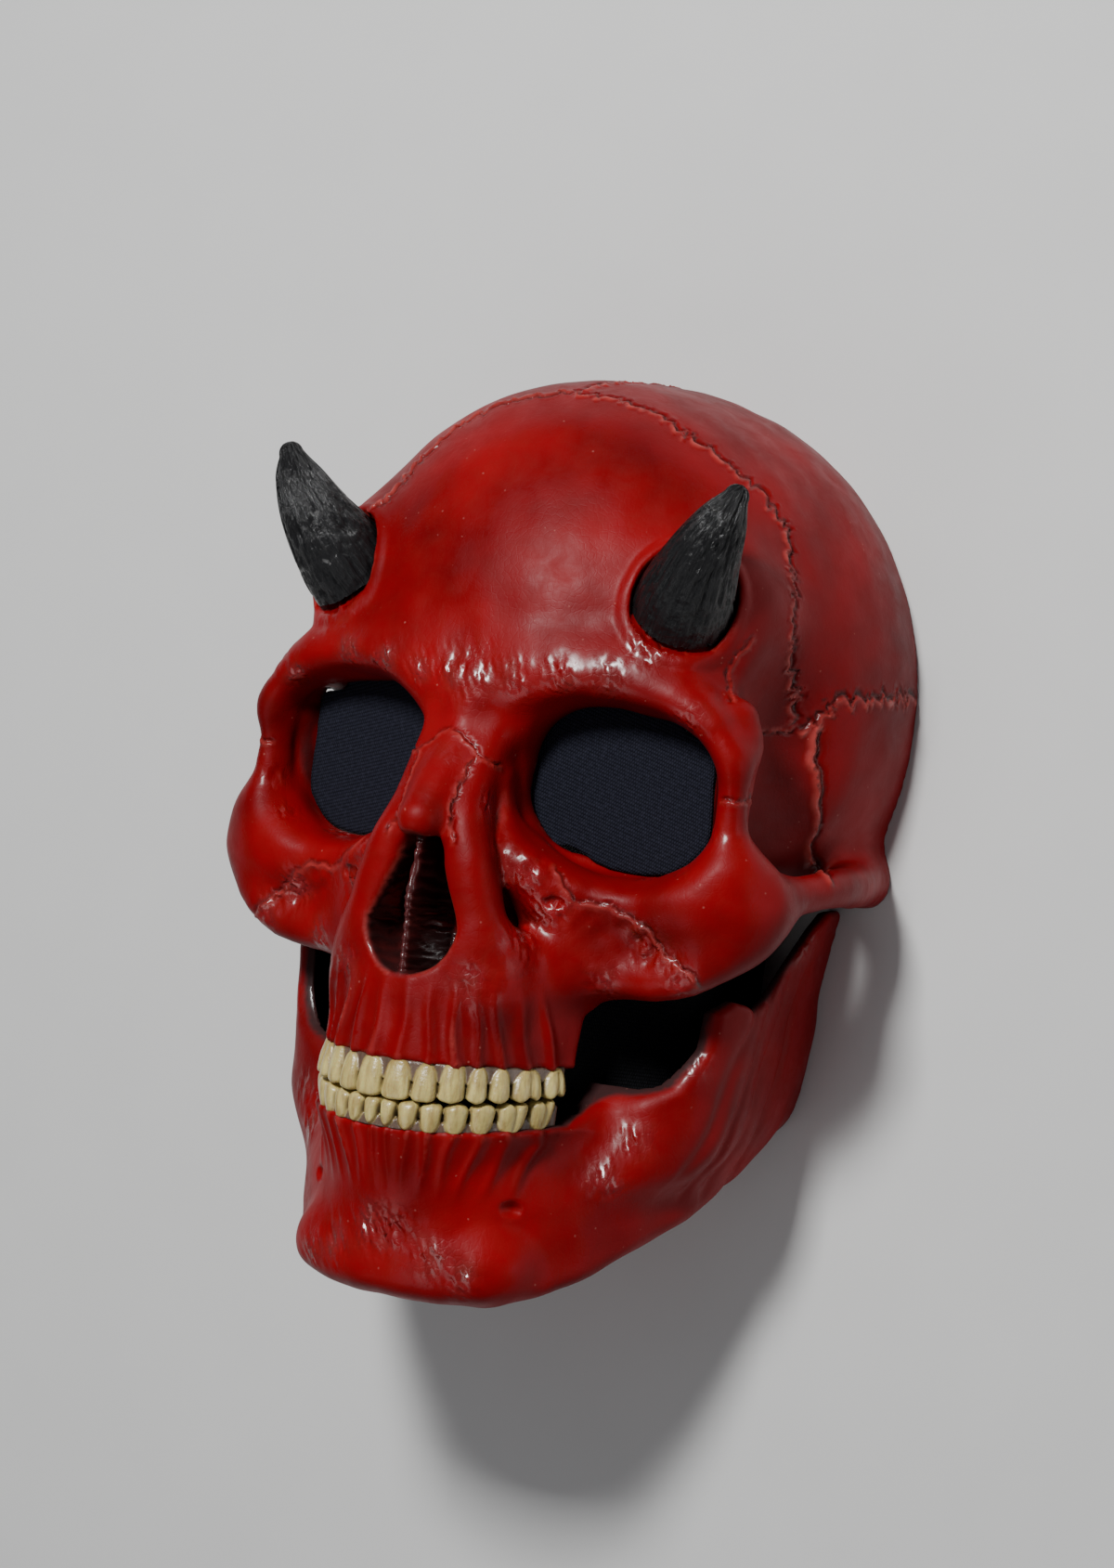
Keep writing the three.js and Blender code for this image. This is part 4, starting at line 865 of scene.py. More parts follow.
class Nodes:
    """Small helper that adds nodes to a tree from left to right."""

    def __init__(self, tree):
        self.tree = tree

    def add(self, kind, values=None, links=None, **settings):
        node = self.tree.nodes.new(kind)
        for key, value in settings.items():
            setattr(node, key, value)
        for key, value in (values or {}).items():
            node.inputs[key].default_value = value
        for key, source in (links or {}).items():
            self.tree.links.new(source, node.inputs[key])
        return node

    def math(self, operation, a, b=0.0, clamp=False):
        node = self.add("ShaderNodeMath", operation=operation, use_clamp=clamp)
        for i, value in enumerate((a, b)):
            if isinstance(value, (int, float)):
                node.inputs[i].default_value = value
            else:
                self.tree.links.new(value, node.inputs[i])
        return node.outputs[0]

    def mix(self, factor, a, b):
        node = self.add("ShaderNodeMix", data_type="RGBA")
        for i, value in ((0, factor), (6, a), (7, b)):
            if isinstance(value, (int, float)):
                node.inputs[i].default_value = value
            elif isinstance(value, tuple):
                node.inputs[i].default_value = (*value[:3], 1)
            else:
                self.tree.links.new(value, node.inputs[i])
        return node.outputs[2]

    def noise(self, vector, scale, detail=4.0, rough=0.55, distortion=0.0):
        values = {"Scale": scale, "Detail": detail, "Roughness": rough, "Distortion": distortion}
        return self.add("ShaderNodeTexNoise", values, {"Vector": vector}).outputs["Fac"]

    def group(self, tree, **links):
        node = self.tree.nodes.new("ShaderNodeGroup")
        node.node_tree = tree
        for key, source in links.items():
            self.tree.links.new(source, node.inputs[key])
        return node.outputs

    def parts(self, attribute):
        """The three values of a point attribute."""
        colour = self.add("ShaderNodeAttribute", attribute_name=attribute).outputs["Color"]
        return self.add("ShaderNodeSeparateColor", links={0: colour}).outputs

    def ramp(self, value, low, high, to_low=0.0, to_high=1.0):
        limits = {1: low, 2: high, 3: to_low, 4: to_high}
        return self.add("ShaderNodeMapRange", limits, {0: value}, clamp=True).outputs[0]


def group_of(name, inputs, outputs, fill):
    """Shader node group with named sockets; fill(nodes, inputs, outputs) makes its inside."""
    if name in bpy.data.node_groups:
        return bpy.data.node_groups[name]
    tree = bpy.data.node_groups.new(name, "ShaderNodeTree")
    for label, kind, default in inputs:
        socket = tree.interface.new_socket(label, in_out="INPUT", socket_type=kind)
        if default is not None:
            socket.default_value = default
    for label, kind in outputs:
        tree.interface.new_socket(label, in_out="OUTPUT", socket_type=kind)
    source = tree.nodes.new("NodeGroupInput")
    target = tree.nodes.new("NodeGroupOutput")
    results = fill(Nodes(tree), source.outputs)
    for label, value in results.items():
        tree.links.new(value, target.inputs[label])
    return tree


def mottle_group():
    """Uneven colour: broad clouds, finer blotches and tiny specks."""

    def fill(n, given):
        clouds = n.noise(given["Vector"], 34, 3, 0.5)
        blotches = n.noise(given["Vector"], 150, 5, 0.62, 0.6)
        cells = n.add("ShaderNodeTexVoronoi", {"Scale": 420.0}, {"Vector": given["Vector"]})
        rare = n.math("GREATER_THAN", n.noise(given["Vector"], 260, 2, 0.5), 0.62)
        return {
            "Clouds": n.ramp(clouds, 0.3, 0.7),
            "Blotches": n.ramp(blotches, 0.35, 0.7),
            "Specks": n.math("MULTIPLY", n.ramp(cells.outputs["Distance"], 0.16, 0.05), rare),
        }

    sockets = [(label, "NodeSocketFloat") for label in ("Clouds", "Blotches", "Specks")]
    return group_of("uneven_finish", [("Vector", "NodeSocketVector", None)], sockets, fill)


def wrinkle_group():
    """Height of fine leathery wrinkles and of a light orange peel."""

    def fill(n, given):
        turned = n.add("ShaderNodeMapping", {"Rotation": (0.3, 0.2, 0.9), "Scale": (1.0, 0.32, 1.0)},
                       {"Vector": given["Vector"]}).outputs[0]
        lines = n.noise(turned, 900, 5, 0.6, 0.9)
        cells = n.add("ShaderNodeTexVoronoi", {"Scale": 520.0}, {"Vector": given["Vector"]},
                      feature="DISTANCE_TO_EDGE").outputs["Distance"]
        peel = n.noise(given["Vector"], 260, 3, 0.5)
        cracks = n.ramp(cells, 0.0, 0.12)
        wrinkled = n.math("ADD", lines, n.math("MULTIPLY", cracks, 0.35))
        share = n.math("ADD", n.math("MULTIPLY", given["Patch"], 0.85), 0.12)
        return {"Height": n.math("ADD", n.math("MULTIPLY", wrinkled, share), n.math("MULTIPLY", peel, 0.25))}

    return group_of("leathery_relief",
                    [("Vector", "NodeSocketVector", None), ("Patch", "NodeSocketFloat", 0.0)],
                    [("Height", "NodeSocketFloat")], fill)


def new_material(name, **shader):
    material = bpy.data.materials.new(name)
    material.use_nodes = True
    n = Nodes(material.node_tree)
    bsdf = material.node_tree.nodes["Principled BSDF"]
    for key, value in shader.items():
        bsdf.inputs[key.replace("_", " ")].default_value = value
    vector = n.add("ShaderNodeTexCoord").outputs["Object"]
    return material, n, bsdf, vector


def bump_into(n, bsdf, height, distance, strength=1.0):
    bump = n.add("ShaderNodeBump", {"Strength": strength, "Distance": distance}, {"Height": height})
    n.tree.links.new(bump.outputs["Normal"], bsdf.inputs["Normal"])


def red_paint(settings):
    """Glossy deep red over the cast shell, with dark paint in the folds and seams, painted shade in the folds
    and eye sockets, dry-brushed high places and paler seam ridges that also paint their highlight.
    """
    material, n, bsdf, vector = new_material("aged_red_paint", Specular_IOR_Level=0.13)
    clouds, blotches, specks = n.group(mottle_group(), Vector=vector)
    closed, sharp, patch = n.parts("wear")
    cavity, inner, deep = n.parts("zones")
    dark, pale, _ = n.parts("marks")
    wash_and_shade, worn_and_highlight = tuple(settings.wash_and_shade), tuple(settings.paint_worn_and_highlight)
    colour = n.mix(clouds, tuple(settings.paint_deep), tuple(settings.paint))
    brushed = n.math("MULTIPLY", blotches, n.math("ADD", n.math("MULTIPLY", patch, 0.7), 0.14))
    colour = n.mix(brushed, colour, tuple(settings.paint_brush))
    edge = n.math("MULTIPLY", n.ramp(sharp, 0.3, 0.85), n.ramp(blotches, 0.2, 0.8, 0.1, 0.6))
    colour = n.mix(edge, colour, worn_and_highlight)
    # Painted shade in the folds, darker the more closed in they are out to 18 mm, together with the dark
    # paint washed into them
    folds = n.math("MULTIPLY", n.ramp(closed, 0.3, 0.92), n.ramp(clouds, 0, 1, 0.98, 0.85))
    colour = n.mix(folds, colour, wash_and_shade)
    colour = n.mix(n.math("MULTIPLY", dark, 0.9), colour, wash_and_shade)
    # Pale dry-brush beside the seams, partly a painted highlight on their raised side
    colour = n.mix(n.math("MULTIPLY", pale, n.ramp(blotches, 0.1, 0.6, 0.5, 0.95)), colour, worn_and_highlight)
    # Painted shade and darker paint deep in the eye sockets
    colour = n.mix(n.math("MULTIPLY", deep, 0.9), colour, wash_and_shade)
    colour = n.mix(cavity, colour, tuple(settings.cavity))
    colour = n.mix(inner, colour, tuple(settings.inside))
    colour = n.mix(n.math("MULTIPLY", specks, 0.22), colour, (0.6, 0.28, 0.22))
    n.tree.links.new(colour, bsdf.inputs["Base Color"])
    rough = n.math("SUBTRACT", n.ramp(blotches, 0, 1, 0.4, 0.54), n.math("MULTIPLY", patch, 0.14))
    rough = n.math("ADD", rough, n.math("MULTIPLY", inner, 0.35), clamp=True)
    n.tree.links.new(rough, bsdf.inputs["Roughness"])
    gloss = n.math("ADD", n.math("MULTIPLY", patch, 1.1), n.math("MULTIPLY", cavity, 0.7), clamp=True)
    gloss = n.math("ADD", n.math("MULTIPLY", n.math("ADD", dark, pale), 0.25), gloss, clamp=True)
    n.tree.links.new(gloss, bsdf.inputs["Coat Weight"])
    bsdf.inputs["Coat Roughness"].default_value = 0.22
    bsdf.inputs["Coat IOR"].default_value = 1.7
    height = n.group(wrinkle_group(), Vector=vector, Patch=patch)["Height"]
    bump_into(n, bsdf, height, 0.0004, 0.7)
    return material


def black_horn(settings):
    material, n, bsdf, vector = new_material("grooved_black_horn", Specular_IOR_Level=0.35)
    place = n.add("ShaderNodeUVMap", uv_map="along_horn").outputs[0]
    lines = n.add("ShaderNodeMapping", {"Scale": (1.0, 0.06, 1.0)}, {"Vector": place}).outputs[0]
    fibres = n.noise(lines, 1500, 5, 0.65, 0.2)
    base = n.mix(n.ramp(fibres, 0.35, 0.75), tuple(settings.horn), tuple(settings.horn_pale))
    tip = n.add("ShaderNodeSeparateXYZ", links={0: place}).outputs[1]
    base = n.mix(n.ramp(tip, 0.030, 0.046, 0, 0.3), base, tuple(settings.horn_pale))
    n.tree.links.new(base, bsdf.inputs["Base Color"])
    n.tree.links.new(n.ramp(n.noise(vector, 160, 3), 0.3, 0.7, 0.16, 0.3), bsdf.inputs["Roughness"])
    height = n.math("ADD", fibres, n.math("MULTIPLY", n.noise(vector, 700, 3), 0.3))
    bump_into(n, bsdf, height, 0.0006, 1.0)
    return material


def cream_tooth(settings):
    material, n, bsdf, vector = new_material("stained_cream_tooth", Coat_Weight=0.3, Coat_Roughness=0.2)
    bsdf.inputs["Subsurface Weight"].default_value = 0.12
    bsdf.inputs["Subsurface Scale"].default_value = 0.0015
    blotches = n.group(mottle_group(), Vector=vector)["Blotches"]
    gum, root, closed = n.parts("tooth")
    streaks = n.add("ShaderNodeMapping", {"Scale": (1.0, 0.2, 1.0)}, {"Vector": vector}).outputs[0]
    streak = n.noise(streaks, 700, 4, 0.6)
    colour = n.mix(n.ramp(streak, 0.3, 0.75), tuple(settings.tooth), tuple(settings.tooth_stain))
    colour = n.mix(n.math("MULTIPLY", root, n.ramp(blotches, 0, 1, 0.35, 0.9)), colour,
                   tuple(settings.tooth_stain))
    # Painted shade between the crowns, darker the more closed in the surface is
    colour = n.mix(n.ramp(closed, 0.35, 0.9, 0, 0.85), colour, tuple(settings.tooth_stain_and_shade))
    gum_colour = n.mix(n.ramp(streak, 0.3, 0.7), tuple(settings.gum), tuple(settings.tooth_stain_and_shade))
    colour = n.mix(gum, colour, gum_colour)
    n.tree.links.new(colour, bsdf.inputs["Base Color"])
    n.tree.links.new(n.ramp(streak, 0.3, 0.7, 0.22, 0.4), bsdf.inputs["Roughness"])
    bump_into(n, bsdf, n.math("ADD", streak, n.noise(vector, 1400, 3)), 0.0002, 0.6)
    return material


def knit_cloth(name, thread, gap, pitch, rise):
    """Fine stretch knit: staggered rows of small loops on the cloth's own UV map, in metres."""
    material, n, bsdf, _ = new_material(name)
    bsdf.inputs["Specular IOR Level"].default_value = 0.15
    place = n.add("ShaderNodeUVMap", uv_map="cloth").outputs[0]
    xyz = n.add("ShaderNodeSeparateXYZ", links={0: place})
    u, v = xyz.outputs[0], xyz.outputs[1]
    row = n.math("DIVIDE", v, pitch)
    rows = n.math("ABSOLUTE", n.math("SUBTRACT", n.math("FRACT", row), 0.5))
    shift = n.math("MULTIPLY", n.math("FLOOR", row), 0.5)
    loop = n.math("ADD", n.math("DIVIDE", u, pitch * 0.72), shift)
    loops = n.math("ABSOLUTE", n.math("SUBTRACT", n.math("FRACT", loop), 0.5))
    off = n.math("ADD", n.math("MULTIPLY", rows, rows), n.math("MULTIPLY", loops, loops))
    hill = n.math("SUBTRACT", 1.0, n.math("MULTIPLY", off, 3.4), clamp=True)
    flecks = n.noise(place, 900, 4, 0.7)
    colour = n.mix(hill, gap, thread)
    colour = n.mix(n.ramp(flecks, 0.45, 0.8, 0.0, 0.4), colour, tuple(min(1, 2.2 * c + 0.01) for c in thread))
    n.tree.links.new(colour, bsdf.inputs["Base Color"])
    n.tree.links.new(n.ramp(hill, 0, 1, 0.95, 0.78), bsdf.inputs["Roughness"])
    bump_into(n, bsdf, n.math("ADD", hill, n.math("MULTIPLY", flecks, 0.3)), rise, 0.9)
    return material


# ---------------------------------------------------------------- settings

def colour(label, text, default):
    return bpy.props.FloatVectorProperty(name=label, description=text, subtype="COLOR", size=3, min=0, max=1,
                                         default=default)


def number(label, text, default, low, high, unit="LENGTH"):
    return bpy.props.FloatProperty(name=label, description=text, default=default, min=low, max=high,
                                   unit=unit)


class SkullMaskSettings(bpy.types.PropertyGroup):
    """Colours and sizes a user would change."""

    paint: colour("Paint", "Bright side of the glossy red paint", (0.255, 0.0012, 0.0046))
    paint_deep: colour("Deep paint", "Darker clouds of the red paint", (0.12, 0.0006, 0.0024))
    paint_brush: colour("Brushed paint", "Orange brown, dry-brushed on brow and cheeks", (0.15, 0.009, 0.004))
    # Paler red rubbed onto sharp edges; beside the seams it is also a painted highlight
    paint_worn_and_highlight: colour("Worn edges", "Paler red on sharp edges and beside the seams", (0.42, 0.06, 0.05))
    # Dark paint in the seams and folds, which also paints the shade in the folds and deep in the eye sockets
    wash_and_shade: colour("Wash", "Dark stain in the folds and seams", (0.022, 0.0008, 0.001))
    cavity: colour("Nose cavity", "Brown black inside the nose opening", (0.030, 0.008, 0.008))
    inside: colour("Inside", "Matt coat on the inner side of the shell", (0.035, 0.012, 0.012))
    horn: colour("Horn", "Black of the horns", (0.004, 0.004, 0.0045))
    horn_pale: colour("Horn fibres", "Paler fibres and tip of the horns", (0.014, 0.0135, 0.014))
    tooth: colour("Tooth", "Cream of the crowns", (0.62, 0.52, 0.19))
    tooth_stain: colour("Tooth stain", "Brown stain at the necks of the crowns", (0.27, 0.175, 0.055))
    # Brown stain streaked through the gum strip, and painted shade between the crowns
    tooth_stain_and_shade: colour("Tooth shadow", "Dark stain between the crowns", (0.075, 0.045, 0.028))
    gum: colour("Gum", "Grey brown strip between the crowns", (0.15, 0.095, 0.07))
    eye_cloth: colour("Eye cloth", "Navy thread of the eye cloths", (0.0105, 0.0115, 0.021))
    jaw_cloth: colour("Jaw cloth", "Black thread of the jaw cloth", (0.004, 0.004, 0.0055))
    relief: number("Relief", "Height of the carved relief against the modelled one", 1.0, 0, 2, "NONE")
    horn_groove: number("Horn grooves", "Depth of the lengthwise grooves of the horns", 0.0006, 0, 0.002)
    knit_pitch: number("Knit pitch", "Distance between two rows of loops", 0.0009, 0.0003, 0.003)
    key_power: number("Key light", "Power of the main light", 13.0, 0, 1000, "POWER")


class ShellSkin:
    """Skin of one cast shell: its field with and without relief, which is carved on the outer side only."""

    def __init__(self, shell, solid, relief_of, relief):
        self.shell, self.solid, self.relief_of, self.relief = shell, solid, relief_of, relief

    def outer_side(self, p):
        return np.clip(1 + (self.solid(mirror_x(p)) + 1.2) / 0.8, 0, 1)

    def plain(self, p):
        return np.maximum(self.shell(mirror_x(p)), -RIM_DEPTH - p[:, 2])

    def relieved(self, p):
        shell = self.shell(mirror_x(p)) - self.relief * self.relief_of(p) * self.outer_side(p)
        return np.maximum(shell, -RIM_DEPTH - p[:, 2])

    def mesh(self, low, high, step, wanted, refine=None):
        """Points, faces and normals; refine gives the zone of the points where faces are cut finer."""
        points, faces = skin_of(self.plain, low, high, step)
        if refine:
            points, faces = finer_faces(points, faces, refine(points))
        points = settle(self.relieved, points, 1, 0.7)
        points, faces = fewer_faces(points, faces, wanted, self.outer_side(points) > 0.5)
        points = settle(self.relieved, points, 2, 0.4)
        return points, faces, skin_normals(self.relieved, points)

    def wear(self, points, patches, seed):
        """How closed in, how sharp and how leathery each point is."""
        closed, sharp = shelter(self.plain, points, skin_normals(self.plain, points, 0.8))
        patch = patch_mask(points, patches) * (0.65 + 0.35 * ripple(points, 9, seed))
        return closed, sharp, np.clip(patch, 0, 1)


def skull_skin(relief):
    """Points, faces, normals and attributes of the upper skull."""
    seams = all_seams()
    skin = ShellSkin(skull_shell, carved_of, lambda p: skull_relief(p, seams), relief)

    def at_seam(p):
        _, dark, pale = seam_marks(p, seams)
        return np.maximum(dark, pale) > 0.06

    points, faces, normals = skin.mesh((0, -96, -109), (93, 102, 20), SKULL_STEP, SKULL_FACES, at_seam)
    _, dark, pale = seam_marks(points, seams)
    outer = skin.outer_side(points)
    q = mirror_x(points)
    at_socket = in_socket_frame(q)
    nose = np.clip(0.9 - nose_distance(q), 0, 1) * np.clip((q[:, 2] + 24) / 4, 0, 1)
    nose *= 1 - 0.2 * np.clip(1 - partition_distance(q) / 0.5, 0, 1) * np.clip((q[:, 2] + 2) / 6, 0, 1)
    nose_rim = np.exp(-((nose_distance(q) - 0.5) / 0.5) ** 2) * np.clip((q[:, 2] + 14) / 4, 0, 1)
    nose_rim *= partition_distance(q) > 1.5
    # Painted shade deep in the eye sockets, together with darker paint there: grows with depth along the
    # socket walls
    deep = np.clip((-3.5 - at_socket[:, 2]) / 5, 0, 1)
    deep *= np.clip(1.6 - np.abs(socket_distance(at_socket)), 0, 1)
    return points, faces, normals, {
        "wear": skin.wear(points, SKULL_PATCHES, 51),
        "zones": (nose, 1 - outer, deep),
        "marks": (dark * outer, np.maximum(pale * outer, 0.5 * nose_rim), np.zeros(len(points))),
    }


def jaw_skin(relief):
    """Points, faces, normals and attributes of the lower jaw."""
    skin = ShellSkin(jaw_shell, filled_jaw, jaw_relief, relief)
    points, faces, normals = skin.mesh((0, -154, -109), (78, -30, 14), JAW_STEP, JAW_FACES)
    nothing = np.zeros(len(points))
    return points, faces, normals, {
        "wear": skin.wear(points, JAW_PATCHES, 52),
        "zones": (nothing, 1 - skin.outer_side(points), nothing),
        "marks": (nothing, nothing, nothing),
    }


def tooth_skin(teeth, bite, side):
    """Points, faces, normals and attributes of one row of teeth."""
    row = ToothRow(teeth, bite, side)
    low, high = ((0, -103, -26), (39, -83, 14)) if side > 0 else ((0, -108, -26), (39, -88, 14))
    points, faces = skin_of(row, low, high, TOOTH_STEP)
    points = settle(row, points, 2, 0.3)
    normals = skin_normals(row, points, 0.2)
    best, strip, _, tooth, height = row.parts(points)
    closed, _ = shelter(row, points, normals)
    gum = np.clip((best - strip) / 0.5 + 0.5, 0, 1)
    root = np.clip((height - 0.55) / 0.45, 0, 1) * (0.6 + 0.4 * np.sin(7 * tooth + np.sign(points[:, 0])))
    return points, faces, normals, {"tooth": (gum, root, closed)}


def place_piece(name, node, skin, material):
    """Puts a carved piece in place of its solid."""
    piece = add_piece(name, skin[0], skin[1], material, skin[2], skin[3])
    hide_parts(node)
    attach(piece, "root")
    return piece


class CastSkull(bpy.types.Operator):
    """Builds the upper skull: brow, sockets, nose opening, cheekbones, upper jaw and horn sockets"""

    bl_idname = "skull_mask.skull"
    bl_label = "Cast Skull"

    def execute(self, context):
        settings = context.scene.skull_mask
        skin = skull_skin(settings.relief)
        place_piece("cast_skull", "skull_shell", skin, red_paint(settings))
        return {"FINISHED"}


class CastJaw(bpy.types.Operator):
    """Builds the lower jaw: tooth arch, chin and side branches"""

    bl_idname = "skull_mask.jaw"
    bl_label = "Cast Jaw"

    def execute(self, context):
        settings = context.scene.skull_mask
        material = bpy.data.materials.get("aged_red_paint") or red_paint(settings)
        place_piece("cast_jaw", "jaw_shell", jaw_skin(settings.relief), material)
        return {"FINISHED"}


class ToothRows(bpy.types.Operator):
    """Builds the two rows of teeth on their gum strips"""

    bl_idname = "skull_mask.teeth"
    bl_label = "Tooth Rows"

    def execute(self, context):
        material = cream_tooth(context.scene.skull_mask)
        upper = tooth_skin(UPPER_TEETH, UPPER_BITE, 1)
        place_piece("upper_tooth_row", "upper_teeth", upper, material)
        lower = tooth_skin(LOWER_TEETH, LOWER_BITE, -1)
        place_piece("lower_tooth_row", "lower_teeth", lower, material)
        return {"FINISHED"}


def horn_tree():
    """Sweeps a grooved section along a curve, and lets it taper with the curve's radius."""
    tree = bpy.data.node_groups.new("grooved_horn", "GeometryNodeTree")
    for label, kind, default in (
        ("Geometry", "NodeSocketGeometry", None),
        ("Sides", "NodeSocketInt", HORN_SIDES),
        ("Rings", "NodeSocketInt", HORN_RINGS),
        ("Groove depth", "NodeSocketFloat", 0.0006),
        ("Grooves", "NodeSocketFloat", 9.0),
        ("Seed", "NodeSocketFloat", 3.0),
        ("Material", "NodeSocketMaterial", None),
    ):
        socket = tree.interface.new_socket(label, in_out="INPUT", socket_type=kind)
        if default is not None:
            socket.default_value = default
    tree.interface.new_socket("Geometry", in_out="OUTPUT", socket_type="NodeSocketGeometry")
    n = Nodes(tree)
    given = tree.nodes.new("NodeGroupInput").outputs
    rings = n.add("GeometryNodeResampleCurve", links={"Curve": given["Geometry"], "Count": given["Rings"]})
    profile = n.add("GeometryNodeCurvePrimitiveCircle", {"Radius": 1.0}, {"Resolution": given["Sides"]})
    along = n.add("GeometryNodeSplineParameter")
    keep_along = n.add("GeometryNodeStoreNamedAttribute", {"Name": "along"},
                       {"Geometry": rings.outputs[0], "Value": along.outputs["Length"]},
                       data_type="FLOAT", domain="POINT")
    around = n.add("GeometryNodeSplineParameter")
    keep_around = n.add("GeometryNodeStoreNamedAttribute", {"Name": "around"},
                        {"Geometry": profile.outputs[0], "Value": around.outputs["Factor"]},
                        data_type="FLOAT", domain="POINT")
    swept = n.add("GeometryNodeCurveToMesh", {"Fill Caps": True},
                  {"Curve": keep_along.outputs[0], "Profile Curve": keep_around.outputs[0],
                   "Scale": n.add("GeometryNodeInputRadius").outputs[0]})
    turn = n.math("MULTIPLY", n.add("GeometryNodeInputNamedAttribute", {"Name": "around"},
                                    data_type="FLOAT").outputs[0], 2 * math.pi)
    length = n.add("GeometryNodeInputNamedAttribute", {"Name": "along"}, data_type="FLOAT").outputs[0]
    circle = n.add("ShaderNodeCombineXYZ", links={0: n.math("COSINE", turn), 1: n.math("SINE", turn),
                                                  2: n.math("MULTIPLY", length, 14.0)})
    grooves = n.add("ShaderNodeTexNoise", {"Detail": 3.0, "Roughness": 0.62},
                    {"Vector": circle.outputs[0], "W": given["Seed"], "Scale": given["Grooves"]},
                    noise_dimensions="4D").outputs[0]
    cut = n.math("MULTIPLY", n.ramp(grooves, 0.38, 0.52, -1.0, 0.15), given["Groove depth"])
    offset = n.add("ShaderNodeVectorMath", operation="SCALE")
    tree.links.new(n.add("GeometryNodeInputNormal").outputs[0], offset.inputs[0])
    tree.links.new(cut, offset.inputs["Scale"])
    moved = n.add("GeometryNodeSetPosition",
                  links={"Geometry": swept.outputs[0], "Offset": offset.outputs[0]})
    realised = n.add("GeometryNodeRealizeInstances", links={"Geometry": moved.outputs[0]})
    painted = n.add("GeometryNodeSetMaterial",
                    links={"Geometry": realised.outputs[0], "Material": given["Material"]})
    tree.links.new(painted.outputs[0], tree.nodes.new("NodeGroupOutput").inputs[0])
    return tree


class Horns(bpy.types.Operator):
    """Builds the two black horns in their sockets"""

    bl_idname = "skull_mask.horns"
    bl_label = "Horns"

    def execute(self, context):
        settings = context.scene.skull_mask
        material = black_horn(settings)
        tree = horn_tree()
        inputs = {item.name: item.identifier for item in tree.interface.items_tree if item.in_out == "INPUT"}
        path = smooth_path(HORN, 16)
        path = path[above_seat(path[:, :3]) > -HORN_SUNK]
        tip, way = path[-1], (path[-1] - path[-6])[:3]
        way /= np.linalg.norm(way)
        dome = [np.append(tip[:3] + way * tip[3] * math.sin(a), tip[3] * math.cos(a))
                for a in np.radians([20, 40, 60, 75, 86])]
        path = np.vstack([path, dome])
        for side, name, node in ((1, "left_horn", "horn_left"), (-1, "right_horn", "horn_right")):
            curve = bpy.data.curves.new(name, "CURVE")
            curve.dimensions = "3D"
            spline = curve.splines.new("POLY")
            spline.points.add(len(path) - 1)
            for point, (x, y, z, radius) in zip(spline.points, path):
                spot = (np.array([side * x, y, z]) + TO_PART) * MM
                point.co = (*spot, 1)
                point.radius = radius * MM
            source = bpy.data.objects.new(name + "_path", curve)
            context.scene.collection.objects.link(source)
            modifier = source.modifiers.new("sweep", "NODES")
            modifier.node_group = tree
            modifier[inputs["Groove depth"]] = settings.horn_groove
            modifier[inputs["Seed"]] = 3.0 + side
            modifier[inputs["Material"]] = material
            mesh = bpy.data.meshes.new_from_object(source.evaluated_get(context.evaluated_depsgraph_get()))
            source.modifiers.remove(modifier)
            bpy.data.objects.remove(source)
            self.add_uv(mesh)
            mesh.name = name
            mesh.shade_smooth()
            piece = bpy.data.objects.new(name, mesh)
            context.scene.collection.objects.link(piece)
            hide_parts(node)
            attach(piece, "root")
        return {"FINISHED"}

    @staticmethod
    def add_uv(mesh):
        """UV map with the way round and the way along the horn, in metres."""
        count = len(mesh.vertices)
        along, around = np.zeros(count), np.zeros(count)
        mesh.attributes["along"].data.foreach_get("value", along)
        mesh.attributes["around"].data.foreach_get("value", around)
        corners = corners_of(mesh)
        around = np.abs(2 * around - 1) * 0.03  # there and back, so that the two edges of the map meet
        layer = mesh.uv_layers.new(name="along_horn")
        layer.data.foreach_set("uv", np.column_stack([around[corners], along[corners]]).ravel())


def cloth_piece(name, spots, uvs, thickness, material):
    """Thin closed sheet: two layers of a grid of spots, joined at the edge."""
    rows, cols = spots.shape[:2]
    along, across = np.gradient(spots, axis=0), np.gradient(spots, axis=1)
    normals = np.cross(along, across)
    normals /= np.maximum(np.linalg.norm(normals, axis=2), 1e-9)[..., None]
    half = 0.5 * thickness
    points = np.concatenate([spots + half * normals, spots - half * normals]).reshape(-1, 3)
    grid = np.arange(rows * cols).reshape(rows, cols)
    front = np.stack([grid[:-1, :-1], grid[1:, :-1], grid[1:, 1:], grid[:-1, 1:]], -1).reshape(-1, 4)
    back = front[:, ::-1] + rows * cols
    edge = np.concatenate([grid[0, :-1], grid[:-1, -1], grid[-1, :0:-1], grid[:0:-1, 0]])
    nxt = np.roll(edge, -1)
    rim = np.stack([edge, nxt, nxt + rows * cols, edge + rows * cols], 1)
    faces = np.concatenate([front, back, rim])
    piece = add_piece(name, points, faces, material)
    layer = piece.data.uv_layers.new(name="cloth")
    uv = np.concatenate([uvs, uvs])
    layer.data.foreach_set("uv", uv[corners_of(piece.data)].ravel())
    return piece


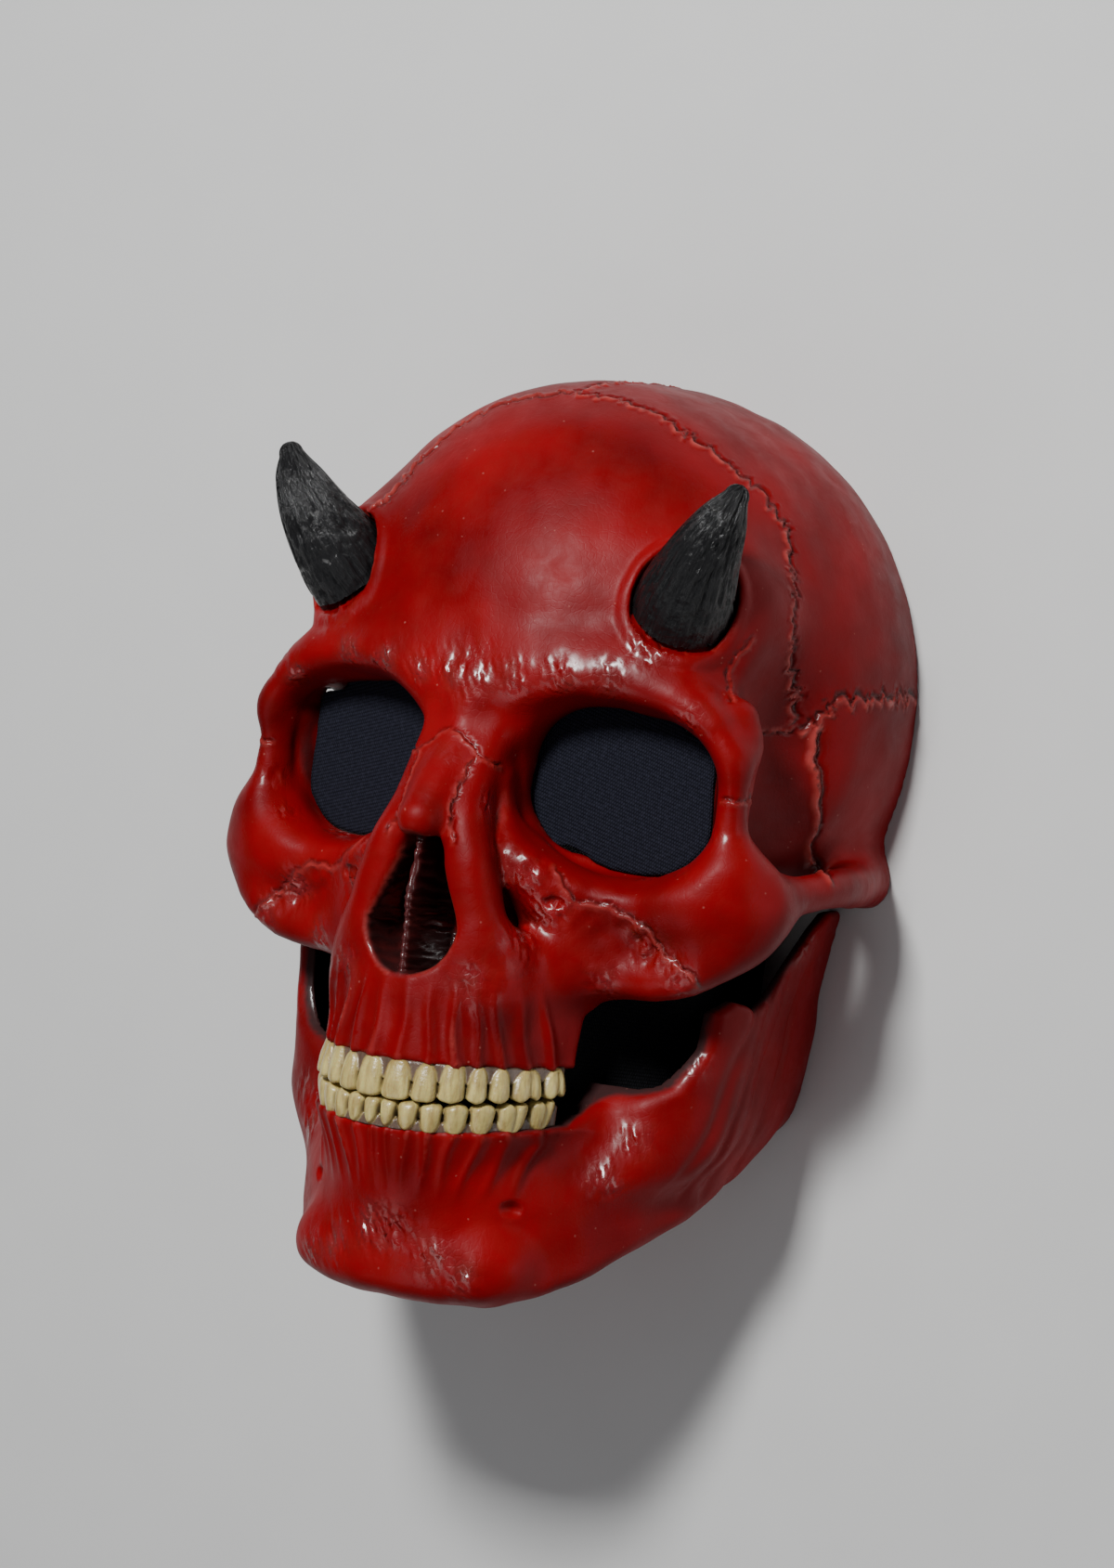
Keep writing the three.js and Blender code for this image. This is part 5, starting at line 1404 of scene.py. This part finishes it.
class EyeCloths(bpy.types.Operator):
    """Builds the two stretched cloths behind the eye openings"""

    bl_idname = "skull_mask.eye_cloths"
    bl_label = "Eye Cloths"

    def execute(self, context):
        settings = context.scene.skull_mask
        thread = tuple(settings.eye_cloth)
        gap = tuple(0.35 * c for c in thread)
        material = knit_cloth("navy_stretch_knit", thread, gap, settings.knit_pitch, 0.0002)
        front = -SOCKET_DEPTH - 1.5
        rays, rings = 96, 20
        angles = np.linspace(0, 2 * np.pi, rays, endpoint=False)
        ways = np.column_stack([np.cos(angles), np.sin(angles)])
        reach = np.zeros(rays)
        open_yet = np.ones(rays, bool)
        while open_yet.any():
            local = np.column_stack([ways * (reach + 0.25)[:, None], np.full(rays, front)])
            spots = local @ SOCKET_AXES.T + SOCKET_AT
            open_yet &= (socket_distance(local) < 4) & (skull_shell(spots) > 0.35)
            reach[open_yet] += 0.25
        sides = ((1, "left_eye_cloth", "eye_cloth_left"), (-1, "right_eye_cloth", "eye_cloth_right"))
        for side, name, node in sides:
            share = np.linspace(0, 1, rings + 1)[1:]
            rim_spots = ways * reach[:, None]
            flat = np.concatenate([[[0, 0]], (share[:, None, None] * rim_spots[None]).reshape(-1, 2)])
            sag = -0.25 * (1 - np.concatenate([[0], np.repeat(share, rays)]) ** 2)
            local = np.column_stack([flat, front + sag])
            spots = (local @ SOCKET_AXES.T + SOCKET_AT) * [side, 1, 1]
            count = len(spots)
            ring = 1 + np.arange(rings * rays).reshape(rings, rays)
            after = np.roll(ring, -1, axis=1)
            faces = [(0, a, b) for a, b in zip(ring[0], after[0])]
            for low, high, low2, high2 in zip(ring[:-1], ring[1:], after[:-1], after[1:]):
                faces += list(zip(low, high, high2, low2))
            rim = list(zip(ring[-1] + count, after[-1] + count, after[-1], ring[-1]))
            faces = faces + [tuple(i + count for i in reversed(face)) for face in faces] + rim
            if side < 0:
                faces = [tuple(reversed(face)) for face in faces]
            half = CLOTH_THICK / 2 * SOCKET_AXES[:, 2] * [side, 1, 1]
            mesh_points = np.concatenate([spots + half, spots - half])
            piece = self.with_uv(name, mesh_points, faces, material, np.concatenate([flat, flat]) * MM)
            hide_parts(node)
            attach(piece, "root")
        return {"FINISHED"}

    @staticmethod
    def with_uv(name, points, faces, material, uv):
        mesh = bpy.data.meshes.new(name)
        faces = [tuple(int(i) for i in face) for face in faces]
        mesh.from_pydata(((points + TO_PART) * MM).tolist(), [], faces)
        mesh.update()
        mesh.shade_smooth()
        mesh.materials.append(material)
        piece = bpy.data.objects.new(name, mesh)
        bpy.context.scene.collection.objects.link(piece)
        turn = math.radians(9)
        way = np.array([[math.cos(turn), math.sin(turn)], [-math.sin(turn), math.cos(turn)]])
        mesh.uv_layers.new(name="cloth").data.foreach_set("uv", (uv @ way)[corners_of(mesh)].ravel())
        return piece


class JawCloth(bpy.types.Operator):
    """Builds the black cloth band that closes the mouth and cheek gaps"""

    bl_idname = "skull_mask.jaw_cloth"
    bl_label = "Jaw Cloth"

    def execute(self, context):
        settings = context.scene.skull_mask
        thread = tuple(settings.jaw_cloth)
        gap = tuple(0.4 * c for c in thread)
        material = knit_cloth("black_stretch_knit", thread, gap, settings.knit_pitch, 0.00015)
        left = smooth_path(BAND, 12)
        route = np.concatenate([left[:0:-1] * [-1, 1, 1, 1], left])
        x, z, top, bottom = route.T
        run = np.concatenate([[0], np.cumsum(np.hypot(np.diff(x), np.diff(z)))])
        rows = 36
        share = np.linspace(0, 1, rows)[None]
        y = top[:, None] + (bottom - top)[:, None] * share
        spots = np.stack([np.repeat(x[:, None], rows, 1), y, np.repeat(z[:, None], rows, 1)], -1)
        uvs = np.stack([np.repeat(run[:, None], rows, 1), y], -1) * MM
        piece = cloth_piece("jaw_band", spots[:, ::-1], uvs[:, ::-1].reshape(-1, 2), CLOTH_THICK, material)
        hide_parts("jaw_cloth")
        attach(piece, "root")
        return {"FINISHED"}


class Stage(bpy.types.Operator):
    """Sets the pale floor, the soft lights and the camera"""

    bl_idname = "skull_mask.stage"
    bl_label = "Stage"

    EYE = (0.54163694, 0.00302820, 1.03829028)
    RIGHT = (0.86934973, 0.13990249, -0.47398137)
    UP = (-0.11894963, 0.99013278, 0.07408143)
    BACK = (0.47966867, -0.00802276, 0.87741302)
    LENS = 138.0

    def execute(self, context):
        scene = context.scene
        size = 3.0
        corners = np.array([(-size, -size, 0), (size, -size, 0), (size, size, 0), (-size, size, 0)])
        mesh = plain_mesh("floor", corners, np.array([[0, 1, 2, 3]]))
        floor = bpy.data.objects.new("floor", mesh)
        scene.collection.objects.link(floor)
        material, n, bsdf, vector = new_material("pale_floor", Roughness=0.85)
        shade = n.mix(n.noise(vector, 30, 3), (0.62, 0.62, 0.61), (0.66, 0.66, 0.65))
        n.tree.links.new(shade, bsdf.inputs["Base Color"])
        mesh.materials.append(material)
        camera_data = bpy.data.cameras.new("camera")
        camera_data.lens = self.LENS
        camera_data.sensor_width = 36
        camera_data.sensor_fit = "HORIZONTAL"
        camera_data.clip_start, camera_data.clip_end = 0.05, 20
        camera = bpy.data.objects.new("camera", camera_data)
        axes = Matrix([self.RIGHT, self.UP, self.BACK]).transposed().to_4x4()
        camera.matrix_world = Matrix.Translation(self.EYE) @ axes
        scene.collection.objects.link(camera)
        scene.camera = camera
        right, up, back = map(Vector, (self.RIGHT, self.UP, self.BACK))
        target = Vector((0, 0, 0.06))
        lights = (
            ("key", -0.45 * right + 0.68 * up + 1.0 * back, 1.0, 0.2, 1.0),
            ("fill", 1.1 * right - 0.1 * up + 0.7 * back, 1.1, 0.5, 0.12),
            ("low", -0.8 * right - 0.7 * up + 0.9 * back, 1.2, 0.6, 0.14),
        )
        for name, way, far, wide, share in lights:
            light = bpy.data.lights.new(name, "AREA")
            light.energy = share * scene.skull_mask.key_power
            light.size = wide
            lamp = bpy.data.objects.new(name, light)
            lamp.location = target + way.normalized() * far
            lamp.rotation_mode = "QUATERNION"
            lamp.rotation_quaternion = way.to_track_quat("Z", "Y")
            scene.collection.objects.link(lamp)
        world = bpy.data.worlds.new("studio")
        world.use_nodes = True
        world.node_tree.nodes["Background"].inputs[0].default_value = (0.9, 0.93, 1.0, 1)
        world.node_tree.nodes["Background"].inputs[1].default_value = 0.15
        scene.world = world
        return {"FINISHED"}


STEPS = (CastSkull, CastJaw, ToothRows, Horns, EyeCloths, JawCloth, Stage)


class SkullMaskPanel(bpy.types.Panel):
    """Lists the steps of the mask in the sidebar"""

    bl_idname = "VIEW3D_PT_skull_mask"
    bl_label = "Skull Mask"
    bl_space_type = "VIEW_3D"
    bl_region_type = "UI"
    bl_category = "Skull Mask"

    def draw(self, context):
        settings = context.scene.skull_mask
        for key in settings.bl_rna.properties.keys():
            if key not in ("rna_type", "name"):
                self.layout.prop(settings, key)
        for step in STEPS:
            self.layout.operator(step.bl_idname)


CLASSES = (SkullMaskSettings, *STEPS, SkullMaskPanel)


def register():
    for cls in CLASSES:
        bpy.utils.register_class(cls)
    bpy.types.Scene.skull_mask = bpy.props.PointerProperty(type=SkullMaskSettings)


def unregister():
    del bpy.types.Scene.skull_mask
    for cls in reversed(CLASSES):
        bpy.utils.unregister_class(cls)


def main():
    register()
    for step in STEPS:
        family, action = step.bl_idname.split(".")
        getattr(getattr(bpy.ops, family), action)()


if __name__ == "__main__":
    main()
